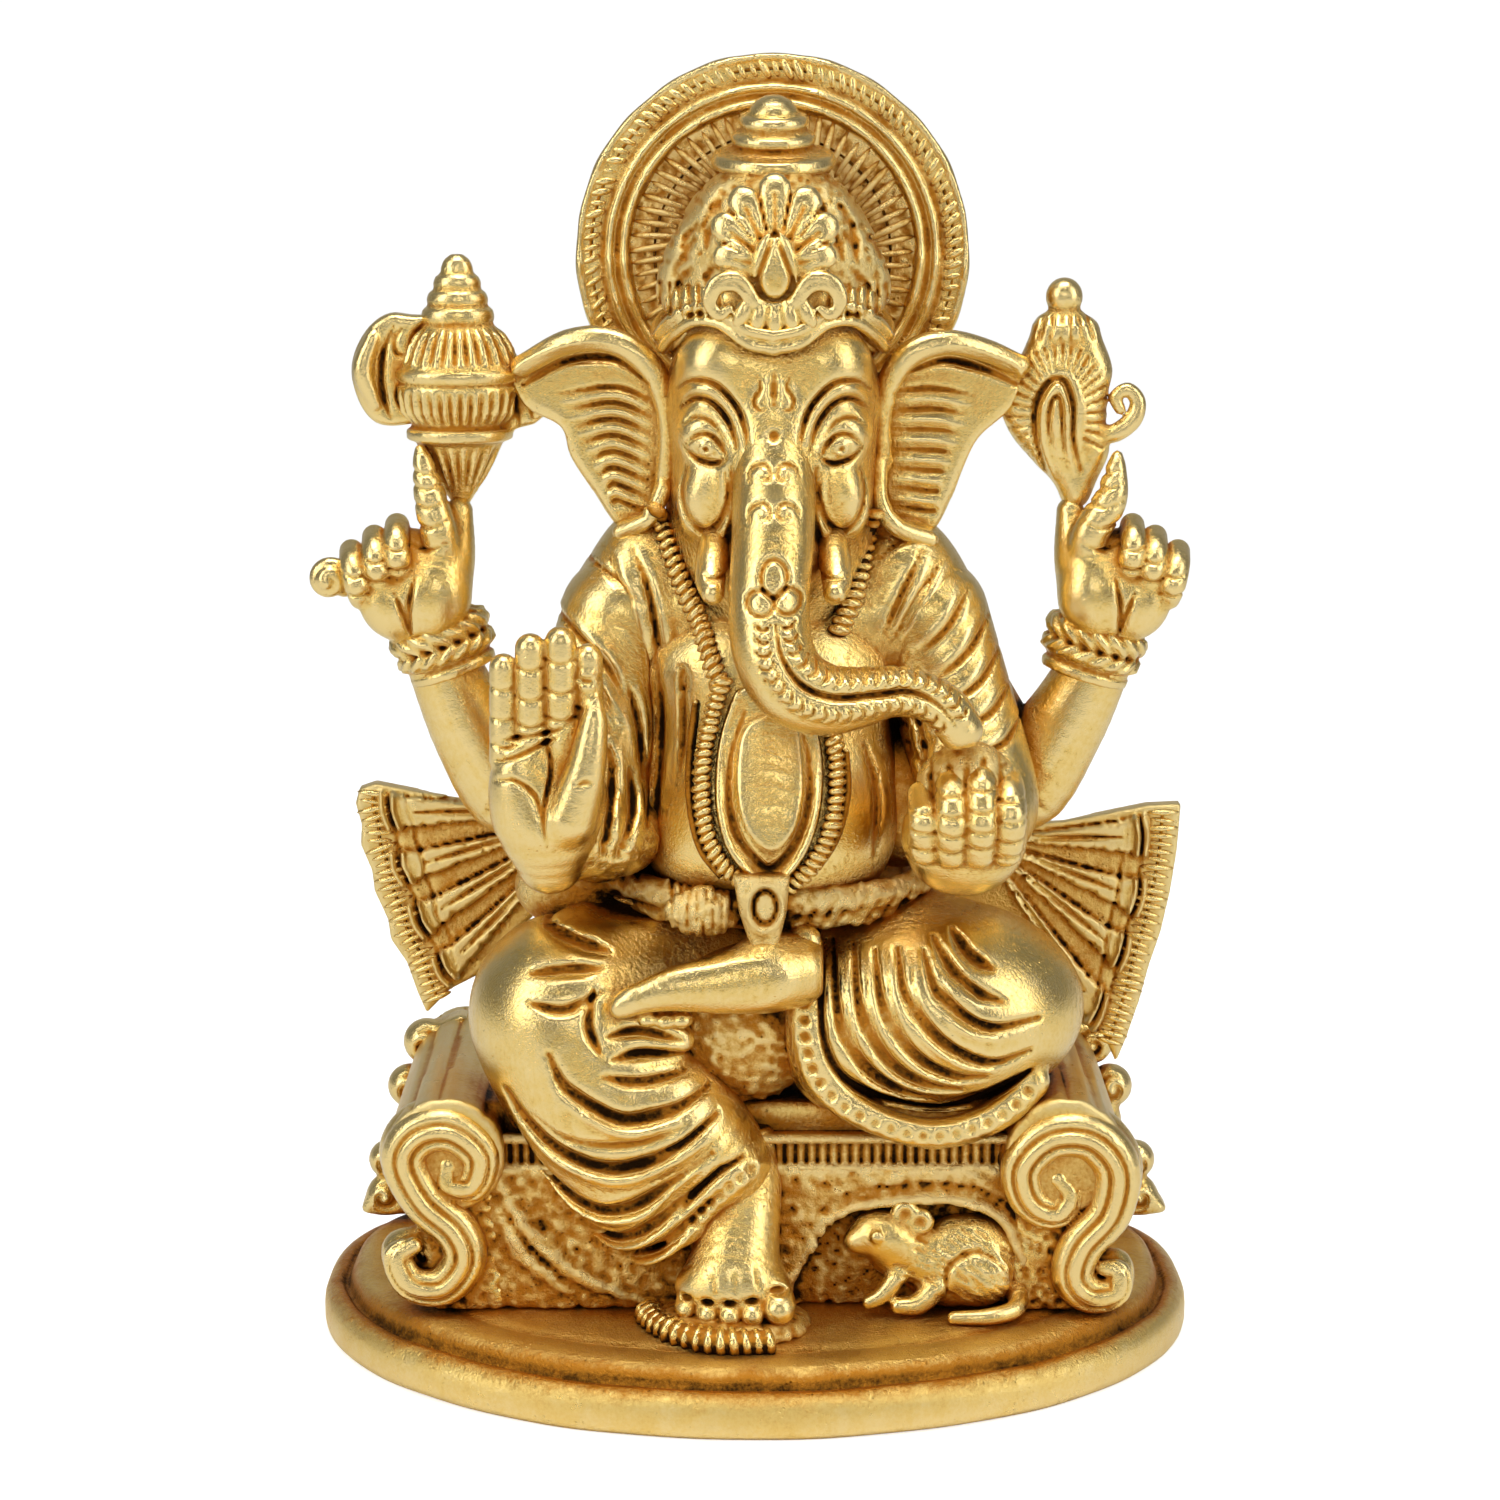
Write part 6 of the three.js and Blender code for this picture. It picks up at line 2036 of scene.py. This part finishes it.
# sash ends flaring behind the hips
sashes = {
    "right": {
        "outline": [
            (-56.2, 75.6), (-53.9, 76.4), (-47, 75), (-41.7, 74.2), (-34, 74.6), (-24, 76), (-18, 70),
            (-20, 62), (-26.5, 64), (-28.5, 60), (-34.6, 54), (-39.6, 48.2), (-43.8, 46), (-47.3, 42.4),
            (-48.6, 45.6), (-50, 50), (-52.2, 53.4), (-52.6, 56.4), (-54.4, 60.6), (-54.7, 63.6),
            (-56.2, 67.4), (-56, 70.4), (-56.8, 73.4)
        ],
        "edge": [
            (-56.4, 75.2), (-56.6, 73), (-55.8, 70), (-55.6, 67), (-54.3, 63.4), (-53.9, 60.4), (-52.2, 56),
            (-51.6, 53.2), (-49.7, 50), (-48.4, 46.2), (-47.2, 43.2)
        ],
        "from": (-22, 72.5),
        "pleats": [
            (-50.4, 74.6), (-49.6, 70.4), (-49.2, 66.4), (-48, 62.8), (-47, 59.2), (-45.4, 55.6),
            (-44, 52.2), (-42.2, 49)
        ],
        "ties": 7.4,
    },
    "left": {
        "outline": [
            (60.6, 73.4), (55.8, 73.2), (50.1, 72), (44, 70.8), (38, 70.4), (27, 73), (22, 66), (26, 60),
            (36, 55), (43, 46), (47, 41), (50.4, 39), (52.2, 35), (53.6, 38.6), (55.4, 44.4), (56.6, 49.4),
            (58.2, 54.6), (59.4, 60.6), (60.2, 66.6)
        ],
        "edge": [
            (60.2, 72.6), (59.9, 66.4), (59, 60.4), (57.8, 54.8), (56.2, 49.6), (55, 44.6), (53.2, 39),
            (52.4, 36.4)
        ],
        "from": (32, 68.5),
        "pleats": [
            (53.4, 71.2), (53.6, 66.6), (53.6, 62.4), (52.8, 58.4), (51.8, 54.6), (50.6, 50.8), (49, 46.8),
            (47.4, 42.6)
        ],
        "ties": 6.6,
    },
}


def insetLine(points, centre, distance):
    # each point pulled towards a centre by a distance
    out = []
    for x, z in points:
        dx, dz = centre[0] - x, centre[1] - z
        r = hypot(dx, dz)
        out.append((x + dx / r * distance, z + dz / r * distance))
    return out


def buildSash(name):
    sash = sashes[name]
    corners = np.array(sash["outline"])
    a, b = low("sash_" + name), high("sash_" + name)
    front = a[1]
    clay = Clay(
        (corners[:, 0].min() - 1, front - 2.6, corners[:, 1].min() - 1),
        (corners[:, 0].max() + 1, b[1] + 1, corners[:, 1].max() + 1), clayGrain["fine"]
    )
    clay.add(slab(sash["outline"], front + 0.2, b[1], 0.7))
    start, ends = sash["from"], sash["pleats"]
    towards = lambda p, t: (start[0] + (p[0] - start[0]) * t, start[1] + (p[1] - start[1]) * t)
    ties = []
    for one, two in zip(ends[0::2], ends[1::2]):
        # a flat pleat between two of the ends, split down its middle, and tied twice near its hem
        middle = ((one[0] + two[0]) / 2, (one[1] + two[1]) / 2)
        wide = [
            (middle[0] + (p[0] - middle[0]) * 1.15, middle[1] + (p[1] - middle[1]) * 1.15)
            for p in (one, two)
        ]
        clay.add(slab([
            towards(wide[0], 0.1), towards(wide[0], 1.05), towards(wide[1], 1.05), towards(wide[1], 0.1)
        ], front - 0.9, front + 2, 0.7), 0.3)
        clay.draw([[towards(middle, t) for t in (0.2, 0.6, 0.94)]], 0.55, 0.9, until=front + 2)
        clay.draw([[towards(one, t) for t in (0.1, 0.6, 1)]], 0.35, 0.4, until=front + 2)
        for t in (1.02, 1.08):
            ties.append([towards(wide[0], t + 0.01), towards(middle, t + 0.025), towards(wide[1], t + 0.01)])
    clay.draw(ties, 0.55, -0.9, until=front + 2, taper=0)
    clay.draw([
        insetLine(sash["edge"], start, distance)
        for distance in (4.7, 7.4)
    ], 0.4, 0.4, until=front + 2)
    rough = np.random.default_rng(71)
    spots = []
    for x, z in ends:
        spots += [
            towards((x + dx, z + dz), t)
            for t, dx, dz in zip(
                rough.uniform(0.3, 1.02, 16), rough.normal(0, 0.2, 16), rough.normal(0, 0.2, 16)
            )
        ]
    clay.dots(spots, 0.45, 0.35, until=front + 1)
    clay.draw([[towards((x, z), t) for t in (0.15, 0.55, 1)] for x, z in ends], 1.2, 0.6, since=b[1] - 1)
    fire(clay, "sashCloth" + name.title(), ["sash_" + name], filedBrass)
    fringe = smoothPath(insetLine(sash["edge"], start, 2.3), 6)
    sizes = {
        "Gap": 1.15, "Across": 2.2, "Along": 0.46, "Deep": 0.75, "Tilt": 0, "Core": 0.3, "Uneven": 0.16,
        "Seed": 12
    }
    layRow("sashFringe" + name.title(), [flatRow(fringe, front + 0.3)], sizes, ["sash_" + name], buffedBrass)


buildSash("right")
buildSash("left")
print("sashes made")


# pendant, garland and neck ropes
garlandBeads = {
    "Gap": 1.12, "Across": 1.5, "Along": 0.62, "Deep": 1.0, "Tilt": 14, "Core": 0.75, "Uneven": 0.1,
    "Seed": 21
}
neckBeads = {
    "Gap": 1.25, "Across": 1.6, "Along": 0.7, "Deep": 1.1, "Tilt": 16, "Core": 0.9, "Uneven": 0.1, "Seed": 23
}


def buildPendant():
    names = ["shawlChest", "bellyCast"]
    border = [
        (-2.4, 94.9), (-4.4, 89), (-5, 84), (-4.8, 79.4), (-3.4, 74.6), (-0.6, 71), (1.6, 69.2), (3.6, 70.4),
        (6, 73.4), (7.8, 77.4), (8.7, 82), (8.6, 87), (7.6, 91)
    ]
    clay = Clay((-10, -26, 58), (14, -8, 98), clayGrain["fine"])
    plate = border + [(3, 96)]

    gx, gz = np.meshgrid(clay.axes[0], clay.axes[2], indexing="ij")
    base = frontAt(names, gx.ravel(), gz.ravel()).reshape(gx.shape)
    base = np.where(base > 90, np.median(base[base < 90]), base)
    base = blurred(base[:, None, :], 4)[:, 0, :]

    def layer(outline, lift, thick, rounding, smooth=4):
        corners = smoothPath(outline, smooth, closed=True) if smooth else np.array(outline)

        def distance(x, y, z):
            u = outlineDistance(x[:, 0], z[0], corners)[:, None, :] + rounding
            i = np.searchsorted(clay.axes[0], x[:, 0, 0])
            k = np.searchsorted(clay.axes[2], z[0, 0, :])
            top = base[np.ix_(i, k)][:, None, :] - lift
            v = np.abs(y - (top + thick / 2)) - thick / 2 + rounding
            return roundedEdge(u, v, rounding)

        a, b = corners.min(0), corners.max(0)
        return np.array([a[0], -30, a[1]]), np.array([b[0], 0, b[1]]), distance

    clay.add(layer(plate, 0.9, 3.4, 0.4))
    clay.draw([border], 0.95, -1.0, until=-8)
    inner = [(2 + (x - 2) * 0.78, 82 + (z - 82) * 0.8) for x, z in border]
    clay.draw([inner], 0.8, 0.9, until=-8)
    plaque = [
        (-1.6, 90), (-2.6, 84), (-1.8, 78.6), (0.6, 75), (3, 74.6), (5.4, 77.6), (6.4, 82), (6.2, 87),
        (5.4, 91), (2, 92)
    ]
    clay.add(layer(plaque, 1.5, 3, 0.5), 0.3)
    clasp = [
        (-1.4, 71.2), (-1.2, 67), (-0.8, 62.4), (1.5, 61.6), (3.8, 62.4), (4.4, 67), (4.6, 71.2), (2, 70)
    ]
    clay.add(layer(clasp, 1.1, 3.4, 0.5, 0), 0.3)
    oval = [(1.5 + 1.35 * cos(t), 65.9 + 1.8 * sin(t)) for t in np.linspace(0, 2 * pi, 11)[:-1]]
    clay.draw([oval], 0.5, 0.6, until=-8, closed=True, steps=3)
    clay.draw([[(-0.6, 70.6), (-0.6, 63)], [(3.6, 70.6), (3.6, 63)]], 0.4, 0.5, until=-8, steps=3)
    fire(clay, "pendantPlate", ["pendant"], buffedBrass)
    left = [(-4.2, 96.2), (-5.6, 91), (-6.6, 86), (-6.8, 80.6), (-6, 75.6), (-3.8, 71.8), (-1.4, 70.2)]
    right = [(9.6, 90.4), (10.5, 86), (10.5, 80.4), (9.4, 75.6), (6.8, 71.6), (4.4, 69.4)]
    layRow(
        "garlandRope", [settle(names, left, 0.9), settle(names, right, 0.9)], garlandBeads, ["garland"],
        buffedBrass
    )
    outerLeft = [(-7.8, 93), (-8.6, 86), (-8.6, 79.6), (-7.2, 74), (-4.4, 70.4)]
    outerRight = [(12, 86.4), (12.2, 81), (10.8, 75.6), (8.2, 71.6)]
    sizes = {
        "Gap": 0.5, "Across": 0.42, "Along": 0.42, "Deep": 0.42, "Tilt": 0, "Core": 0.5, "Uneven": 0.02,
        "Seed": 2
    }
    layRow(
        "garlandCord", [settle(names, outerLeft, 0.3), settle(names, outerRight, 0.3)], sizes, ["garland"],
        buffedBrass
    )
    neckLeft = [
        (-13.4, 117.4), (-12, 113.4), (-10.4, 109.4), (-9, 106.4), (-7.4, 103.4), (-6, 99.4), (-4.8, 96.2)
    ]
    neckRight = [(16.2, 117.4), (15.2, 113.4), (14.2, 109.4), (12.8, 105.6), (11, 102)]
    layRow(
        "neckRope", [settle(names, neckLeft, 0.7), settle(names, neckRight, 0.7)], neckBeads, ["garland"],
        buffedBrass
    )


buildPendant()


def layCushionRoll():
    # the ribbed roll round the front of the foot cushion
    curve = [(-14.6, -18, 9.3), (-13, -22.6, 9.3), (-9.4, -26.8, 9.3), (-4, -29.2, 9.3), (1.8, -29, 9.3)]
    points = smoothPath(curve, 10)
    facing = np.tile((0.0, -0.5, 0.86), (len(points), 1))
    sizes = {
        "Gap": 1.5, "Across": 2.3, "Along": 0.95, "Deep": 2.1, "Tilt": 10, "Core": 1.8, "Uneven": 0.08,
        "Seed": 33
    }
    layRow("cushionRoll", [(points, facing)], sizes, ["foot_cushion"], buffedBrass)


layCushionRoll()
print("jewellery laid")


# how shut in each point is by the whole figure, for the dark finish: patina and painted shade (ambient
# occlusion) in hollows and between parts
def shadeHollows():
    step = 0.7
    lowest = np.min([c.low for c in clays.values()], axis=0) - 8
    highest = np.max([[a[-1] for a in c.axes] for c in clays.values()], axis=0) + 8
    count = np.ceil((highest - lowest) / step).astype(int)
    solidity = np.zeros(count, "f")
    for clay in clays.values():
        index = [np.round((a - lowest[i]) / step).astype(int) for i, a in enumerate(clay.axes)]
        keep = [np.unique(i, return_index=True) for i in index]
        part = clay.field[np.ix_(*[k[1] for k in keep])] < 0
        place = np.ix_(*[k[0] for k in keep])
        solidity[place] = np.maximum(solidity[place], part)
    near, wide = blurred(solidity, 3), blurred(solidity, 7)
    for obj in pieces:
        mesh = obj.data
        n = len(mesh.vertices)
        points, normals, own = np.zeros(n * 3, "f"), np.zeros(n * 3, "f"), np.zeros(n, "f")
        mesh.vertices.foreach_get("co", points)
        mesh.vertex_normals.foreach_get("vector", normals)
        points, normals = points.reshape(-1, 3) * 1000, normals.reshape(-1, 3)
        mark = mesh.attributes.get("hollow")
        if mark:
            mark.data.foreach_get("value", own)
        else:
            mark = mesh.attributes.new("hollow", "FLOAT", "POINT")
        out = []
        for field, lift in ((near, 1.0), (wide, 2.4)):
            g = np.clip(np.round((points + normals * lift - lowest) / step).astype(int), 0, count - 1)
            out.append(field[g[:, 0], g[:, 1], g[:, 2]])
        # the point's own hollowness plus how close other parts are: a darker colour that is painted shade as
        # well as patina
        level = own * 1.8 + (out[0] - 0.34) * 0.9 + (out[1] - 0.3) * 0.8
        mark.data.foreach_set("value", level.astype("f"))


shadeHollows()
print("hollows shaded")


# floor, light and camera
def plainMaterial(name, colour, rough):
    material = bpy.data.materials.new(name)
    material.use_nodes = True
    shader = material.node_tree.nodes["Principled BSDF"]
    shader.inputs["Base Color"].default_value = (*colour, 1)
    shader.inputs["Roughness"].default_value = rough
    return material


def sweep():
    # floor and backdrop in one curved sheet
    profile = [(-3.0, 0.0), (0.9, 0.0)]
    profile += [(0.9 + 0.5 * sin(t), 0.5 - 0.5 * cos(t)) for t in np.linspace(0.1, pi / 2, 12)]
    profile += [(1.4, 3.0)]
    points = [(x * 1000, y * 1000, z * 1000) for y, z in profile for x in (-3.5, 3.5)]
    faces = [(2 * i, 2 * i + 1, 2 * i + 3, 2 * i + 2) for i in range(len(profile) - 1)]
    floor = meshObject("floor", points, faces)
    paper = plainMaterial("paperWhite", (0.92, 0.92, 0.92), 0.9)
    # the camera alone sees the paper a little brighter, so it stays white without more light on the brass
    tree = paper.node_tree
    shader = tree.nodes["Principled BSDF"]
    shader.inputs["Emission Color"].default_value = (1, 1, 1, 1)
    seen = node(tree, "ShaderNodeLightPath").outputs["Is Camera Ray"]
    tree.links.new(sums(tree, "MULTIPLY", seen, studio["paperGlow"]), shader.inputs["Emission Strength"])
    floor.data.materials.append(paper)


def softbox(name, at, towards, size, power):
    data = bpy.data.lights.new(name, "AREA")
    data.shape = "RECTANGLE"
    data.size, data.size_y = size
    data.energy = power
    light = placed(name, data)
    light.location = at
    light.rotation_euler = (Vector(towards) - Vector(at)).to_track_quat("-Z", "Y").to_euler()


def setStage():
    sweep()
    world = bpy.data.worlds.new("studio")
    world.use_nodes = True
    back = world.node_tree.nodes["Background"]
    back.inputs["Color"].default_value = (1, 1, 1, 1)
    # dim to light the brass by, white to look at
    seen = node(world.node_tree, "ShaderNodeLightPath").outputs["Is Camera Ray"]
    fill = studio["worldFill"]
    strength = sums(world.node_tree, "MULTIPLY_ADD", seen, 1 - fill, fill)
    world.node_tree.links.new(strength, back.inputs["Strength"])
    bpy.context.scene.world = world
    aim = (0, 0, 0.09)
    softbox("keyLeft", (-0.75, -0.55, 0.55), aim, (0.34, 0.9), 3.5)
    softbox("keyRight", (0.8, -0.45, 0.5), aim, (0.3, 0.9), 3.0)
    softbox("overhead", (0, -0.15, 1.0), aim, (0.6, 0.35), 4.2)
    softbox("frontLow", (0.05, -1.1, 0.5), aim, (0.35, 0.26), 1.15)
    data = bpy.data.cameras.new("camera")
    data.lens = studio["lens"]
    data.sensor_width = studio["sensorWidth"]
    data.clip_end = 20
    camera = placed("camera", data)
    camera.location = (studio["eyeAside"] / 1000, -studio["eyeDistance"] / 1000, studio["eyeHeight"] / 1000)
    camera.rotation_euler = (radians(90 - studio["tiltDown"]), 0, 0)
    bpy.context.scene.camera = camera
    bpy.context.scene.view_settings.view_transform = "Standard"


setStage()
print("stage set")

left = [name for name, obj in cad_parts.items() if name not in dressed]
for name in left:
    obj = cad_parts[name]
    obj.data.materials.clear()
    obj.data.materials.append(buffedBrass)
print("nodes still as the frame has them:", left)
